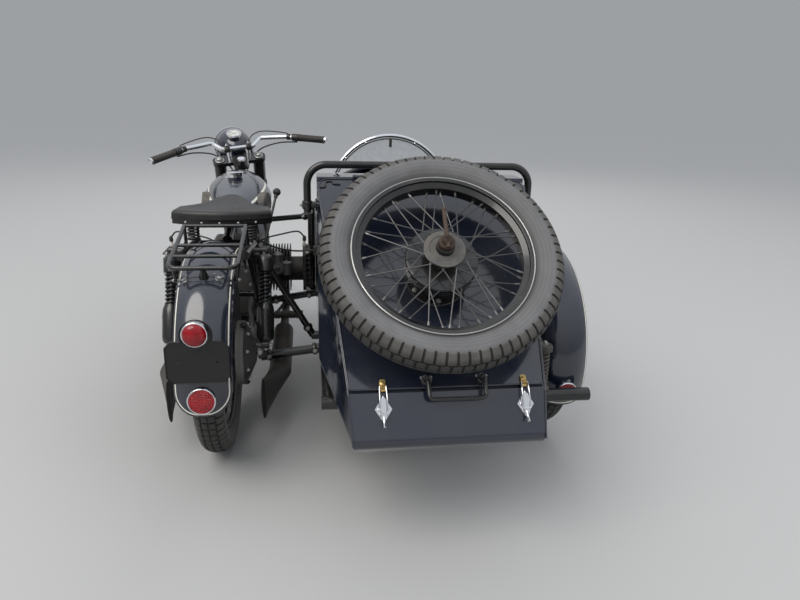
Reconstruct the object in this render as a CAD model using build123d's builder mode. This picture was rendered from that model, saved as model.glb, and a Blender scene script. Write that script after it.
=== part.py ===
from build123d import *
from math import cos, radians, sin, sqrt, tan
import os

# Sidecar motorcycle: a flat twin with shaft drive, and a spring-carried passenger sidecar on its right.
# Millimetres. X to the right, which is the sidecar side, Y forward, Z up.
# The pieces are laid out from the point on the ground under the rear axle. At the end they all move
# together, so that the origin is on the ground in the middle of the whole vehicle's outline.

# Wheels, four alike with the spare
TYRE_RADIUS = 340
TYRE_HALF_WIDTH = 49
TREAD_HALF_WIDTH = 37
SHOULDER_DROP = 13
WIDEST_RADIUS = 288
BEAD_RADIUS = 243
BEAD_HALF_WIDTH = 27
RIM_FLANGE_RADIUS = 254
RIM_HALF_WIDTH = 33
RIM_WELL_RADIUS = 224
RIM_WELL_HALF_WIDTH = 14
RIM_METAL = 4
HUB_HALF_LENGTH = 60
HUB_BARREL_RADIUS = 30
HUB_FLANGE_RADIUS = 58
HUB_FLANGE_X = -34
HUB_FLANGE_THICKNESS = 6
DRUM_RADIUS = 103
DRUM_INNER_X = 8
DRUM_OUTER_X = 50
SPOKE_THICKNESS = 4.5
SPOKES_PER_ROW = 10
AXLE_RADIUS = 10
RUNNING_CLEARANCE = 0.05
SEAT_GAP = 0.3

# Where the wheels stand
WHEELBASE = 1450
SIDECAR_WHEEL_LEAD = 110

# Steering: the head leans back and the axle lies in front of the steering line
RAKE = 27
FORK_OFFSET = 65
PARKED_TURN = 14.75
FORK_HALF_SPACING = 95
FORK_SLIDER_RADIUS = 24
FORK_SHROUD_RADIUS = 29
HEAD_LOW = 485
HEAD_HIGH = 605
HEAD_RADIUS = 27
STEM_RADIUS = 13
YOKE_THICKNESS = 18
YOKE_GAP = 5

# Tubes, by outside diameter
FRAME_TUBE = 32
TOP_TUBE = 38
CROSS_TUBE = 26
SIDECAR_TUBE = 42
STRUT_TUBE = 26
RACK_TUBE = 14
RAIL_TUBE = 24
BAR_TUBE = 22

# Frame stations
CRADLE_X = 115
CRADLE_Z = 240
CRADLE_FRONT_Y = 985
CRADLE_REAR_Y = 402
SEAT_TUBE_TOP_Z = 655
SUBFRAME_X = 105
SUBFRAME_Z = 680
SUBFRAME_END_Y = -15
CLAMP_X = 132
REAR_CLAMP = (150, 262)
PEG_Y = 470
PEG_Z = 315

# Swingarm and rear suspension
PIVOT_Y = 388
PIVOT_Z = 335
ARM_X = 80
ARM_TUBE = 34
SHOCK_X = 160
SHOCK_LOW = (5, 365)
SHOCK_HIGH = (150, 672)
DRIVE_INNER_X = 66
DRIVE_OUTER_X = 128
DRIVE_RADIUS = 112
DRIVE_SHAFT_X = 98
DRIVE_ARM_X = 100
DRIVE_ARM_DROP = 42
DRIVE_FLANGE_Y = 118

# Fenders
FENDER_WALL = 3
REAR_FENDER_RADIUS = 390
REAR_FENDER_HALF_WIDTH = 84
FRONT_FENDER_RADIUS = 368
FRONT_FENDER_HALF_WIDTH = 66
SIDECAR_FENDER_RADIUS = 372
SIDECAR_FENDER_HALF_WIDTH = 76
VALANCE_DEPTH = 62

# Number board and rear lamps
BOARD_Y = -412
BOARD_Z = 480
BOARD_HALF_WIDTH = 89
BOARD_HEIGHT = 128
BOARD_THICKNESS = 4
BOARD_HOLE_SPACING = 110
BOARD_HOLE_RADIUS = 3.2
LAMP_Z = 570
LAMP_RADIUS = 37
LAMP_RECESS = 1
REFLECTOR_RADIUS = 42
REFLECTOR_TILT = -1.5
SIDE_REFLECTOR_RADIUS = 38
SIDE_REFLECTOR_TILT = 11

# Rack and saddle
RACK_REAR = (-225, 706)
RACK_FRONT = (90, 772)
RACK_HALF_WIDTH = 102
SADDLE_Z = 742
SADDLE_REAR_Y = 235
SADDLE_NOSE_Y = 594
SADDLE_HALF_WIDTH = 182
SADDLE_THICKNESS = 52

# Engine
ENGINE_Y = 800
ENGINE_Z = 430
CASE_HALF_WIDTH = 112
CASE_FRONT_Y = 958
CASE_REAR_Y = 650
CASE_TOP_Z = 575
GEARBOX_HALF_WIDTH = 98
GEARBOX_REAR_Y = 448
CYLINDER_END_X = 322
BARREL_RADIUS = 56
FIN_HALF_HEIGHT = 98
FIN_HALF_DEPTH = 88
FIN_THICKNESS = 4
FIN_PITCH = 13
FIN_COUNT = 8
HEAD_THICKNESS = 34
GEARBOX_Z = 425
GEARBOX_HEIGHT = 220
HEAD_FIN_COUNT = 8
HEAD_FIN_PITCH = 24
GEAR_BALL = (183, 700, 800)
CARB_X = 180
CARB_Z = 478
EXHAUST_X = 200
EXHAUST_TUBE = 38
SILENCER_Z = 200
SILENCER_RADIUS = 42
SILENCER_FRONT_Y = 640
SILENCER_REAR_Y = 150
FISHTAIL_X = 156
FISHTAIL_Y = -110
FISHTAIL_Z = 212
FISHTAIL_HEIGHT = 150

# Tank sections, from the saddle to the steering head
tank_rows = (
    # y, half width, bottom, top
    (600, 78, 700, 800),
    (730, 132, 668, 832),
    (890, 150, 660, 862),
    (1035, 104, 720, 858),
)

# Sidecar body
BODY_LEFT_X = 345
BODY_HALF_WIDTH = 335
TAIL_TAPER = 80
TAIL_Y = -720
WIDEST_Y = -100
BODY_WALL = 6
FLOOR_Z = 305
COCKPIT_SIDE_Z = 768
COWL_Y = 700
BACKREST_TOP_Z = 965
BACKREST_TOP_Y = 15
LID_TOP = (-110, 960)
LID_LOW = (-620, 475)
LID_THICKNESS = 14
LID_EDGE_GAP = 5
COAMING = 28
FLOOR_RADIUS = 50
NOSE_EDGE_RADIUS = 30
TAIL_CORNER = (-692, 345)
LID_SKIN = 3
HINGE_RISE = 8
HINGE_BACK = -2
HINGE_SPREAD = 190
HINGE_LEAF_HALF = 18
HINGE_RADIUS = 7
HINGE_PIN_RADIUS = 3
HANDLE_SHIFT = 18
HANDLE_HALF_WIDTH = 76
LATCH_OFFSETS = (-177, 208)
CUSHION_SIDE_GAP = 65
CUSHION_FRONT_Y = 540
CUSHION_TOP_Z = 450
BACKREST_SIDE_GAP = 50

# Sidecar nose sections, from the cowl to the tip
nose_rows = (
    # y, half width, bottom, side top, crown, low corner radius, high corner radius
    (COWL_Y, BODY_HALF_WIDTH, FLOOR_Z, COCKPIT_SIDE_Z, 925, FLOOR_RADIUS, 60),
    (980, BODY_HALF_WIDTH - 33, FLOOR_Z + 5, 690, 835, 50, 80),
    (1210, BODY_HALF_WIDTH - 125, FLOOR_Z + 45, 590, 705, 50, 70),
    (1370, BODY_HALF_WIDTH - 251, FLOOR_Z + 120, 510, 565, 38, 38),
)

# Spare wheel on the lid
SPARE_ALONG = 371
SPARE_STANDOFF = 125

# Grab rail and windscreen
RAIL_Y = -70
RAIL_TOP_Z = 1000
RAIL_SIDE_GAP = 30
SCREEN_SIDE_INSET = 73
SCREEN_FOOT_Z = 800
SCREEN_TOP_Z = 1045
SCREEN_THICKNESS = 5
SCREEN_RIM = 16
RAIL_FOOT_Z = 850

# Sidecar chassis
CHASSIS_LEFT_INSET = 27
CHASSIS_RIGHT_INSET = 7
CHASSIS_REAR_Y = -300
CHASSIS_FRONT_Y = 990
CHASSIS_TIP_REACH = 60
ARM_PIVOT_Y = -110
ARM_SIDE_REACH = 50
WHEEL_REACH = 117
SPRING_REACH = 53
POST_SIDE_GAP = 15
STRUT_FOOT_GAP = 17
UPPER_LUG_Z = 662
POST_TOP_Z = 700
POST_STRUT_Z = 655
WIRE_DIAMETER = 7
WIRE_CLIP_DEPTH = 10.8
WIRE_END_GAP = 1.6

# Handlebar and headlamp, laid out with the steering straight
BAR_TIP = (402, 1022, 949)
BAR_BEND = (248, 1130, 976)
BAR_RISE = (120, 1172, 984)
BAR_CLAMP = (74, 1150, 950)
RISER_X = 46
GRIP_LENGTH = 125
YOKE_TOP = 628
HEADLAMP = (1285, 948)
HEADLAMP_RADIUS = 92
SPEEDO_RADIUS = 33

# Directions and heights worked out from the sizes above
rake = radians(RAKE)
steer_axis = Vector(0, -sin(rake), cos(rake))
steer_point = Vector(0, WHEELBASE - FORK_OFFSET * cos(rake), TYRE_RADIUS - FORK_OFFSET * sin(rake))
straight = Plane(origin=steer_point, x_dir=(1, 0, 0), z_dir=steer_axis)
steer_line = Axis(steer_point, steer_axis)
turned_side = Vector(1, 0, 0).rotate(Axis((0, 0, 0), steer_axis), PARKED_TURN)
steered = Plane(origin=steer_point, x_dir=turned_side, z_dir=steer_axis)

body_x = BODY_LEFT_X + BODY_HALF_WIDTH
body_right_x = body_x + BODY_HALF_WIDTH
tail_half_width = BODY_HALF_WIDTH - TAIL_TAPER
chassis_left_x = BODY_LEFT_X + CHASSIS_LEFT_INSET
chassis_right_x = body_right_x - CHASSIS_RIGHT_INSET
arm_side_x = chassis_right_x + ARM_SIDE_REACH
sidecar_track = arm_side_x + WHEEL_REACH
chassis_tip_x = sidecar_track + CHASSIS_TIP_REACH
spring_x = body_right_x + SPRING_REACH
post_x = BODY_LEFT_X - POST_SIDE_GAP
strut_foot_x = BODY_LEFT_X - STRUT_FOOT_GAP
rail_half_width = BODY_HALF_WIDTH + RAIL_SIDE_GAP
screen_half_width = BODY_HALF_WIDTH - SCREEN_SIDE_INSET
sump_z = CRADLE_Z + CROSS_TUBE / 2 + SEAT_GAP
rail_z = FLOOR_Z - SEAT_GAP - SIDECAR_TUBE / 2
strut_rows = (
    # start on the frame, end on the sidecar's frame, length of each lug, radius
    ((CLAMP_X, *REAR_CLAMP), (chassis_left_x, 165, rail_z), 30, 40, 17),
    ((CRADLE_X, 900, CRADLE_Z), (chassis_left_x, 900, rail_z), 40, 62, 17),
    ((SUBFRAME_X, 310, UPPER_LUG_Z), (strut_foot_x, 300, rail_z), 38, 40, STRUT_TUBE / 2),
    ((49.5, 1089, 600), (post_x, CHASSIS_FRONT_Y - 60, POST_STRUT_Z), 42, 34, STRUT_TUBE / 2),
)

lid_run = Vector(0, LID_LOW[0] - LID_TOP[0], LID_LOW[1] - LID_TOP[1])
lid_length = lid_run.length
lid_down = lid_run.normalized()
lid_out = Vector(0, lid_down.Z, -lid_down.Y)
lid_plane = Plane(origin=(body_x, *LID_TOP), x_dir=(-1, 0, 0), z_dir=lid_out)


def tube(points, bend, diameter):
    """A round tube: straight runs joined by bends of one radius."""
    with BuildPart() as piece:
        with BuildLine() as route:
            if len(points) > 2:
                FilletPolyline(*points, radius=bend)
            else:
                Line(*points)
        with BuildSketch(Plane(origin=route.line @ 0, z_dir=route.line % 0)):
            Circle(diameter / 2)
        sweep(path=route.line)
    return piece.part


def rod(start, end, radius, end_radius=None):
    """A straight round bar, or a cone, from one point to another."""
    along = Vector(*end) - Vector(*start)
    with BuildPart() as piece:
        with BuildSketch(Plane(origin=start, z_dir=along)):
            Circle(radius)
        if end_radius is None:
            extrude(amount=along.length)
        else:
            with BuildSketch(Plane(origin=end, z_dir=along)):
                Circle(end_radius)
            loft()
    return piece.part


def block(low, high, corner=0):
    """A block between two corners, with its upright edges rounded."""
    width, depth = high[0] - low[0], high[1] - low[1]
    with BuildPart() as piece:
        with BuildSketch(Plane.XY.offset(low[2])):
            with Locations(((low[0] + high[0]) / 2, (low[1] + high[1]) / 2)):
                if corner:
                    RectangleRounded(width, depth, corner)
                else:
                    Rectangle(width, depth)
        extrude(amount=high[2] - low[2])
    return piece.part


def both_sides(shape):
    """A piece and its mirror image on the other side of the motorcycle."""
    return [shape, mirror(shape, about=Plane.YZ)]


def turned(shape):
    """A piece laid out with the steering straight, turned to where the steering is parked."""
    return shape.rotate(steer_line, PARKED_TURN)


def on_head(x, ahead, along):
    """A point given by its side, its distance ahead of the steering line and its height along it."""
    return steer_point + Vector(1, 0, 0) * x + Vector(0, cos(rake), sin(rake)) * ahead + steer_axis * along


def subframe_height(y):
    """The height of the subframe tubes' middle line at a station along the motorcycle."""
    rise = (SUBFRAME_Z + 12 - SEAT_TUBE_TOP_Z) / (CRADLE_REAR_Y - 10 - SUBFRAME_END_Y)
    return SEAT_TUBE_TOP_Z + rise * (CRADLE_REAR_Y - 10 - y)


def fender(radius, half_width, depth, front_angle, rear_angle):
    """A curved sheet round a wheel, from front_angle before its top to rear_angle behind it."""
    angle = radians(-front_angle)
    start = Plane(origin=(0, 0, 0), x_dir=(1, 0, 0), z_dir=(0, -cos(angle), -sin(angle)))
    with BuildPart() as piece:
        with BuildSketch(start):
            for inset, mode in ((0, Mode.ADD), (FENDER_WALL, Mode.SUBTRACT)):
                side = half_width - inset
                low = radius - depth - inset
                spring = radius - depth / 2
                with BuildLine():
                    ThreePointArc((-side, spring), (0, radius - inset), (side, spring))
                    Polyline((side, spring), (side, low), (-side, low), (-side, spring))
                make_face(mode=mode)
        revolve(axis=Axis.X, revolution_arc=front_angle + rear_angle)
    return piece.part


# Tyre: its section is a tread arc, two round sidewalls and a flat base on the rim, turned about X
with BuildPart() as tyre:
    with BuildSketch(Plane.XY):
        with BuildLine():
            ThreePointArc(
                (-TREAD_HALF_WIDTH, TYRE_RADIUS - SHOULDER_DROP),
                (0, TYRE_RADIUS),
                (TREAD_HALF_WIDTH, TYRE_RADIUS - SHOULDER_DROP),
            )
            for side in (-1, 1):
                ThreePointArc(
                    (side * TREAD_HALF_WIDTH, TYRE_RADIUS - SHOULDER_DROP),
                    (side * TYRE_HALF_WIDTH, WIDEST_RADIUS),
                    (side * (BEAD_HALF_WIDTH + 1), RIM_FLANGE_RADIUS + 2),
                )
                Line(
                    (side * (BEAD_HALF_WIDTH + 1), RIM_FLANGE_RADIUS + 2),
                    (side * BEAD_HALF_WIDTH, BEAD_RADIUS),
                )
            Line((-BEAD_HALF_WIDTH, BEAD_RADIUS), (BEAD_HALF_WIDTH, BEAD_RADIUS))
        make_face()
    revolve(axis=Axis.X)

# Wheel: rim, hub with its brake drum, and the spokes laced between them, as one casting of like metal
rim_seat = BEAD_RADIUS - SEAT_GAP
spoke_end = RIM_WELL_RADIUS + RIM_METAL / 2
spoke_rows = (
    # hub x, hub radius, rim x, lean in degrees, first angle
    (HUB_FLANGE_X, HUB_FLANGE_RADIUS - 6, -5, 38, 0),
    (HUB_FLANGE_X, HUB_FLANGE_RADIUS - 6, -5, -38, 18),
    (DRUM_INNER_X + 5, DRUM_RADIUS - 4, 5, 22, 9),
    (DRUM_INNER_X + 5, DRUM_RADIUS - 4, 5, -22, 27),
)
with BuildPart() as spoked_wheel:
    with BuildSketch(Plane.XY):
        with BuildLine():
            Polyline(
                (-RIM_HALF_WIDTH, RIM_FLANGE_RADIUS),
                (-RIM_HALF_WIDTH + 3, RIM_FLANGE_RADIUS),
                (-BEAD_HALF_WIDTH - 1, rim_seat),
                (-RIM_WELL_HALF_WIDTH - 6, rim_seat),
                (-RIM_WELL_HALF_WIDTH, RIM_WELL_RADIUS + RIM_METAL),
                (RIM_WELL_HALF_WIDTH, RIM_WELL_RADIUS + RIM_METAL),
                (RIM_WELL_HALF_WIDTH + 6, rim_seat),
                (BEAD_HALF_WIDTH + 1, rim_seat),
                (RIM_HALF_WIDTH - 3, RIM_FLANGE_RADIUS),
                (RIM_HALF_WIDTH, RIM_FLANGE_RADIUS),
                (RIM_HALF_WIDTH - 2, rim_seat - RIM_METAL),
                (RIM_WELL_HALF_WIDTH + 9, rim_seat - RIM_METAL),
                (RIM_WELL_HALF_WIDTH, RIM_WELL_RADIUS),
                (-RIM_WELL_HALF_WIDTH, RIM_WELL_RADIUS),
                (-RIM_WELL_HALF_WIDTH - 9, rim_seat - RIM_METAL),
                (-RIM_HALF_WIDTH + 2, rim_seat - RIM_METAL),
                close=True,
            )
        make_face()
        bore = AXLE_RADIUS + RUNNING_CLEARANCE
        with BuildLine():
            Polyline(
                (-HUB_HALF_LENGTH, bore),
                (-HUB_HALF_LENGTH, HUB_BARREL_RADIUS - 6),
                (HUB_FLANGE_X - HUB_FLANGE_THICKNESS / 2, HUB_BARREL_RADIUS),
                (HUB_FLANGE_X - HUB_FLANGE_THICKNESS / 2, HUB_FLANGE_RADIUS),
                (HUB_FLANGE_X + HUB_FLANGE_THICKNESS / 2, HUB_FLANGE_RADIUS),
                (HUB_FLANGE_X + HUB_FLANGE_THICKNESS / 2, HUB_BARREL_RADIUS),
                (DRUM_INNER_X, HUB_BARREL_RADIUS),
                (DRUM_INNER_X, DRUM_RADIUS - 8),
                (DRUM_INNER_X + 4, DRUM_RADIUS),
                (DRUM_OUTER_X, DRUM_RADIUS),
                (DRUM_OUTER_X, HUB_BARREL_RADIUS),
                (HUB_HALF_LENGTH, HUB_BARREL_RADIUS - 6),
                (HUB_HALF_LENGTH, bore),
                close=True,
            )
        make_face()
    revolve(axis=Axis.X)
    for hub_x, hub_r, rim_x, lean, first in spoke_rows:
        for k in range(SPOKES_PER_ROW):
            foot = radians(first + k * 360 / SPOKES_PER_ROW)
            head = foot + radians(lean)
            start = Vector(hub_x, hub_r * cos(foot), hub_r * sin(foot))
            end = Vector(rim_x, spoke_end * cos(head), spoke_end * sin(head))
            with BuildSketch(Plane(origin=start, z_dir=end - start)):
                Rectangle(SPOKE_THICKNESS, SPOKE_THICKNESS)
        extrude(amount=(end - start).length)

# The four wheels: the drum side is on local +X
front_axle = steered.from_local_coords(Vector(0, FORK_OFFSET, 0))
spare_centre = Vector(body_x, *LID_TOP) + lid_down * SPARE_ALONG + lid_out * SPARE_STANDOFF
wheel_planes = {
    "rear": Plane(origin=(0, 0, TYRE_RADIUS), x_dir=(-1, 0, 0), z_dir=(0, 0, 1)),
    "front": Plane(origin=front_axle, x_dir=steered.x_dir * -1, z_dir=steered.z_dir),
    "sidecar": Plane(
        origin=(sidecar_track, SIDECAR_WHEEL_LEAD, TYRE_RADIUS), x_dir=(-1, 0, 0), z_dir=(0, 0, 1)
    ),
    "spare": Plane(origin=spare_centre, x_dir=lid_out * -1, z_dir=(1, 0, 0)),
}
pieces = {}
for place, plane in wheel_planes.items():
    pieces[place + "_wheel"] = plane.location * spoked_wheel.part
    pieces[place + "_tyre"] = plane.location * tyre.part

# Frame: a double cradle of steel tube, with its steering head, top tube, seat subframe and lugs
head_low = on_head(0, 0, HEAD_LOW)
head_high = on_head(0, 0, HEAD_HIGH)
cradle = tube(
    [
        tuple(on_head(18, -16, HEAD_LOW + 42)),
        (CRADLE_X, CRADLE_FRONT_Y, CRADLE_Z),
        (CRADLE_X, CRADLE_REAR_Y, CRADLE_Z),
        (SUBFRAME_X, CRADLE_REAR_Y - 10, SEAT_TUBE_TOP_Z),
        (SUBFRAME_X, SUBFRAME_END_Y, SUBFRAME_Z + 12),
    ],
    60,
    FRAME_TUBE,
)
shock_brace = tube(
    [(CRADLE_X - 2, CRADLE_REAR_Y - 10, PIVOT_Z + 60), (SUBFRAME_X, SHOCK_HIGH[0], SHOCK_HIGH[1])],
    0,
    FRAME_TUBE - 6,
)
shock_stub = rod((SUBFRAME_X, *SHOCK_HIGH), (SHOCK_X - 8, *SHOCK_HIGH), 9)
clamp_lug = tube([(CRADLE_X, CRADLE_REAR_Y, CRADLE_Z + 10), (CLAMP_X, *REAR_CLAMP)], 0, FRAME_TUBE - 4)
peg_stub = tube(
    [(CRADLE_X, PEG_Y, CRADLE_Z), (CRADLE_X + 24, PEG_Y, PEG_Z), (CRADLE_X + 52, PEG_Y, PEG_Z)], 12, 20
)
fender_pad = rod(
    (SUBFRAME_X, 0, SUBFRAME_Z + 8), (REAR_FENDER_HALF_WIDTH + SEAT_GAP, 0, SUBFRAME_Z + 8), 9
)
top_tube = tube([tuple(on_head(0, -10, HEAD_HIGH - 40)), (0, CRADLE_REAR_Y, SEAT_TUBE_TOP_Z)], 0, TOP_TUBE)
with BuildPart() as frame:
    for side_piece in (cradle, shock_brace, shock_stub, clamp_lug, peg_stub, fender_pad):
        add(both_sides(side_piece))
    for start, end, frame_lug, sidecar_lug, radius in strut_rows:
        along = (Vector(*end) - Vector(*start)).normalized()
        add(rod(start, Vector(*start) + along * frame_lug, radius + 2))
    add(top_tube)
    add(rod(head_low, head_high, HEAD_RADIUS))
    for cross_y, cross_z in (
        (CRADLE_FRONT_Y - 90, CRADLE_Z),
        (CRADLE_REAR_Y + 290, CRADLE_Z),
        (CRADLE_REAR_Y - 10, SEAT_TUBE_TOP_Z - 12),
        (CRADLE_REAR_Y - 4, PIVOT_Z + 98),
    ):
        add(rod((-CRADLE_X, cross_y, cross_z), (CRADLE_X, cross_y, cross_z), CROSS_TUBE / 2))
    for side in (-1, 1):
        add(
            block(
                (side * CRADLE_X - 10, PIVOT_Y - 24, PIVOT_Z - 24),
                (side * CRADLE_X + 10, CRADLE_REAR_Y + 4, PIVOT_Z + 24),
            )
        )
    add(
        rod((-CRADLE_X - 20, PIVOT_Y, PIVOT_Z), (CRADLE_X + 20, PIVOT_Y, PIVOT_Z), AXLE_RADIUS),
        mode=Mode.SUBTRACT,
    )
    add(
        rod(on_head(0, 0, HEAD_LOW - 5), on_head(0, 0, HEAD_HIGH + 5), STEM_RADIUS + RUNNING_CLEARANCE),
        mode=Mode.SUBTRACT,
    )
pieces["frame"] = frame.part

# Swingarm: a pivot tube, two arms and the rear axle that the wheel turns on
pivot_half = CRADLE_X - FRAME_TUBE / 2 - 5
drive_arm = tube(
    [
        (ARM_X, PIVOT_Y, PIVOT_Z),
        (DRIVE_ARM_X, PIVOT_Y - 90, TYRE_RADIUS - DRIVE_ARM_DROP),
        (DRIVE_ARM_X, DRIVE_FLANGE_Y, TYRE_RADIUS - DRIVE_ARM_DROP),
    ],
    60,
    ARM_TUBE,
)
with BuildPart() as swingarm:
    add(rod((-pivot_half, PIVOT_Y, PIVOT_Z), (pivot_half, PIVOT_Y, PIVOT_Z), 22))
    add(rod((-CRADLE_X - 14, PIVOT_Y, PIVOT_Z), (CRADLE_X + 14, PIVOT_Y, PIVOT_Z), AXLE_RADIUS - 0.2))
    add(rod((-ARM_X, PIVOT_Y, PIVOT_Z), (-ARM_X, 0, TYRE_RADIUS), ARM_TUBE / 2))
    add(drive_arm)
    add(rod((-SHOCK_X + 34, 0, TYRE_RADIUS), (DRIVE_OUTER_X + 6, 0, TYRE_RADIUS), AXLE_RADIUS))
    add(rod((-ARM_X - 17, 0, TYRE_RADIUS), (-HUB_HALF_LENGTH - 1, 0, TYRE_RADIUS), 26))
    add(rod((-SHOCK_X - 12, *SHOCK_LOW), (-ARM_X, *SHOCK_LOW), 8))
pieces["swingarm"] = swingarm.part

# Final drive: the bevel-gear housing on the right of the wheel, with the drive shaft to the gearbox
with BuildPart() as drive_housing:
    with BuildSketch(Plane.XY):
        with BuildLine():
            Polyline(
                (DRIVE_INNER_X, AXLE_RADIUS + 0.2),
                (DRIVE_INNER_X, DRIVE_RADIUS),
                (DRIVE_INNER_X + 26, DRIVE_RADIUS),
                (DRIVE_OUTER_X - 14, DRIVE_RADIUS - 46),
                (DRIVE_OUTER_X, 34),
                (DRIVE_OUTER_X, AXLE_RADIUS + 0.2),
                close=True,
            )
        make_face()
    revolve(axis=Axis.X)
with BuildPart() as final_drive:
    add(Location((0, 0, TYRE_RADIUS)) * drive_housing.part)
    add(rod((DRIVE_SHAFT_X, 60, TYRE_RADIUS + 2), (DRIVE_SHAFT_X, 168, TYRE_RADIUS + 12), 36, 22))
    add(
        rod(
            (DRIVE_SHAFT_X, 160, TYRE_RADIUS + 12),
            (DRIVE_SHAFT_X - 22, GEARBOX_REAR_Y - 3, TYRE_RADIUS + 52),
            11,
        )
    )
    add(
        block(
            (DRIVE_ARM_X - 17, 40, TYRE_RADIUS - DRIVE_ARM_DROP - 17),
            (DRIVE_ARM_X + 17, DRIVE_FLANGE_Y - SEAT_GAP, TYRE_RADIUS - DRIVE_ARM_DROP + 17),
        )
    )
    add(rod((DRIVE_OUTER_X - 24, *SHOCK_LOW), (SHOCK_X + 12, *SHOCK_LOW), 8))
    add(
        rod((DRIVE_INNER_X - 1, 0, TYRE_RADIUS), (DRIVE_OUTER_X + 1, 0, TYRE_RADIUS), AXLE_RADIUS + 0.2),
        mode=Mode.SUBTRACT,
    )
pieces["final_drive"] = final_drive.part

# Rear shock absorbers: a lower cup, a chromed upper cover and the eyes that bolt to frame and arm
low_point = Vector(SHOCK_X, *SHOCK_LOW)
high_point = Vector(SHOCK_X, *SHOCK_HIGH)
shock_line = (high_point - low_point).normalized()
shock_length = (high_point - low_point).length
shock_parts = []
shock_rows = (
    # start and end along the line between the eyes, radius
    (-14, 14, 14),
    (12, 150, 31),
    (150, 262, 24),
    (262, 322, 30),
    (322, 350, 15),
)
for from_end, to_end, radius in shock_rows:
    shock_parts.append(rod(low_point + shock_line * from_end, low_point + shock_line * to_end, radius))
with BuildPart() as shock_absorbers:
    for shock_part in shock_parts:
        add(both_sides(shock_part))
    for side in (-1, 1):
        low_bore = rod((side * (SHOCK_X - 20), *SHOCK_LOW), (side * (SHOCK_X + 20), *SHOCK_LOW), 8.2)
        high_bore = rod((side * (SHOCK_X - 30), *SHOCK_HIGH), (side * (SHOCK_X - 7), *SHOCK_HIGH), 9.2)
        add(low_bore, mode=Mode.SUBTRACT)
        add(high_bore, mode=Mode.SUBTRACT)
pieces["shock_absorbers"] = shock_absorbers.part

# Fenders: pressed sheet, crowned across, with deep sides and a rolled edge
with BuildPart() as rear_fender:
    add(
        Location((0, 0, TYRE_RADIUS))
        * fender(REAR_FENDER_RADIUS, REAR_FENDER_HALF_WIDTH, VALANCE_DEPTH, 42, 99)
    )
    with BuildSketch(Plane.XZ.offset(200)) as tail_trim:
        with Locations((0, 200)):
            Rectangle(4 * REAR_FENDER_HALF_WIDTH, 320)
        with Locations((0, 376)):
            RectangleRounded(2 * REAR_FENDER_HALF_WIDTH + 2, 160, 70, mode=Mode.SUBTRACT)
    extrude(amount=300, mode=Mode.SUBTRACT)
pieces["rear_fender"] = rear_fender.part

with BuildPart() as front_fender:
    add(
        straight.location
        * Location((0, FORK_OFFSET, 0))
        * Location((0, 0, 0), (-RAKE, 0, 0))
        * fender(FRONT_FENDER_RADIUS, FRONT_FENDER_HALF_WIDTH, VALANCE_DEPTH - 14, 62, 92)
    )
pieces["front_fender"] = turned(front_fender.part)

with BuildPart() as sidecar_fender:
    add(
        Location((sidecar_track, SIDECAR_WHEEL_LEAD, TYRE_RADIUS))
        * fender(SIDECAR_FENDER_RADIUS, SIDECAR_FENDER_HALF_WIDTH, VALANCE_DEPTH, 78, 111)
    )
pieces["sidecar_fender"] = sidecar_fender.part

# Number board: a flat plate with cut corners and a round lobe that frames the tail lamp, left blank
with BuildPart() as number_board:
    with BuildSketch(Plane.XZ.offset(-BOARD_Y)) as board_face:
        with Locations((0, BOARD_Z)):
            Rectangle(2 * BOARD_HALF_WIDTH, BOARD_HEIGHT)
        chamfer(board_face.vertices(), 18)
        with Locations((0, LAMP_Z - 8)):
            Circle(LAMP_RADIUS + 9)
    extrude(amount=-BOARD_THICKNESS)
    add(
        rod((0, BOARD_Y, LAMP_Z), (0, BOARD_Y + LAMP_RECESS, LAMP_Z), LAMP_RADIUS + 3),
        mode=Mode.SUBTRACT,
    )
    with Locations(Plane(origin=(0, BOARD_Y, BOARD_Z), x_dir=(1, 0, 0), z_dir=(0, -1, 0))):
        with GridLocations(BOARD_HOLE_SPACING, 0, 2, 1):
            Hole(BOARD_HOLE_RADIUS)
    bracket_y = -sqrt((REAR_FENDER_RADIUS + SEAT_GAP) ** 2 - (BOARD_Z - 12 - TYRE_RADIUS) ** 2)
    add(block((-22, BOARD_Y + BOARD_THICKNESS, BOARD_Z - 12), (22, bracket_y, BOARD_Z + 4)))
pieces["number_board"] = number_board.part


# Rear lamps: the domed tail lamp on the board, and the round reflectors of the bike and the sidecar
def dome_lamp(centre, facing, radius, depth, dome):
    """A round lamp: a short cylinder with a shallow dome in front."""
    base = Plane(origin=centre, z_dir=facing)
    with BuildPart() as piece:
        with BuildSketch(base):
            Circle(radius)
        extrude(amount=depth)
        with BuildSketch(base.offset(depth)):
            Circle(radius - 4)
        with BuildSketch(base.offset(depth + dome)):
            Circle((radius - 4) * 0.45)
        loft()
    return piece.part


reflector_angle = radians(REFLECTOR_TILT)
reflector_face = Vector(0, -cos(reflector_angle), -sin(reflector_angle))
reflector_seat = Vector(0, 0, TYRE_RADIUS) + reflector_face * (REAR_FENDER_RADIUS + SEAT_GAP)
side_angle = radians(SIDE_REFLECTOR_TILT)
side_face = Vector(0, -cos(side_angle), -sin(side_angle))
side_seat = Vector(sidecar_track, SIDECAR_WHEEL_LEAD, TYRE_RADIUS) + side_face * (
    SIDECAR_FENDER_RADIUS + SEAT_GAP
)
with BuildPart() as rear_lamps:
    add(dome_lamp((0, BOARD_Y + LAMP_RECESS - SEAT_GAP, LAMP_Z), (0, -1, 0), LAMP_RADIUS, 23, 16))
    add(dome_lamp(reflector_seat, reflector_face, REFLECTOR_RADIUS, 9, 4))
    add(dome_lamp(side_seat, side_face, SIDE_REFLECTOR_RADIUS, 9, 4))
pieces["rear_lamps"] = rear_lamps.part

# Luggage rack: a tube loop with three cross bars, two legs to the fender sides and a centre stem
rack_rise = (RACK_FRONT[1] - RACK_REAR[1]) / (RACK_FRONT[0] - RACK_REAR[0])


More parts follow.
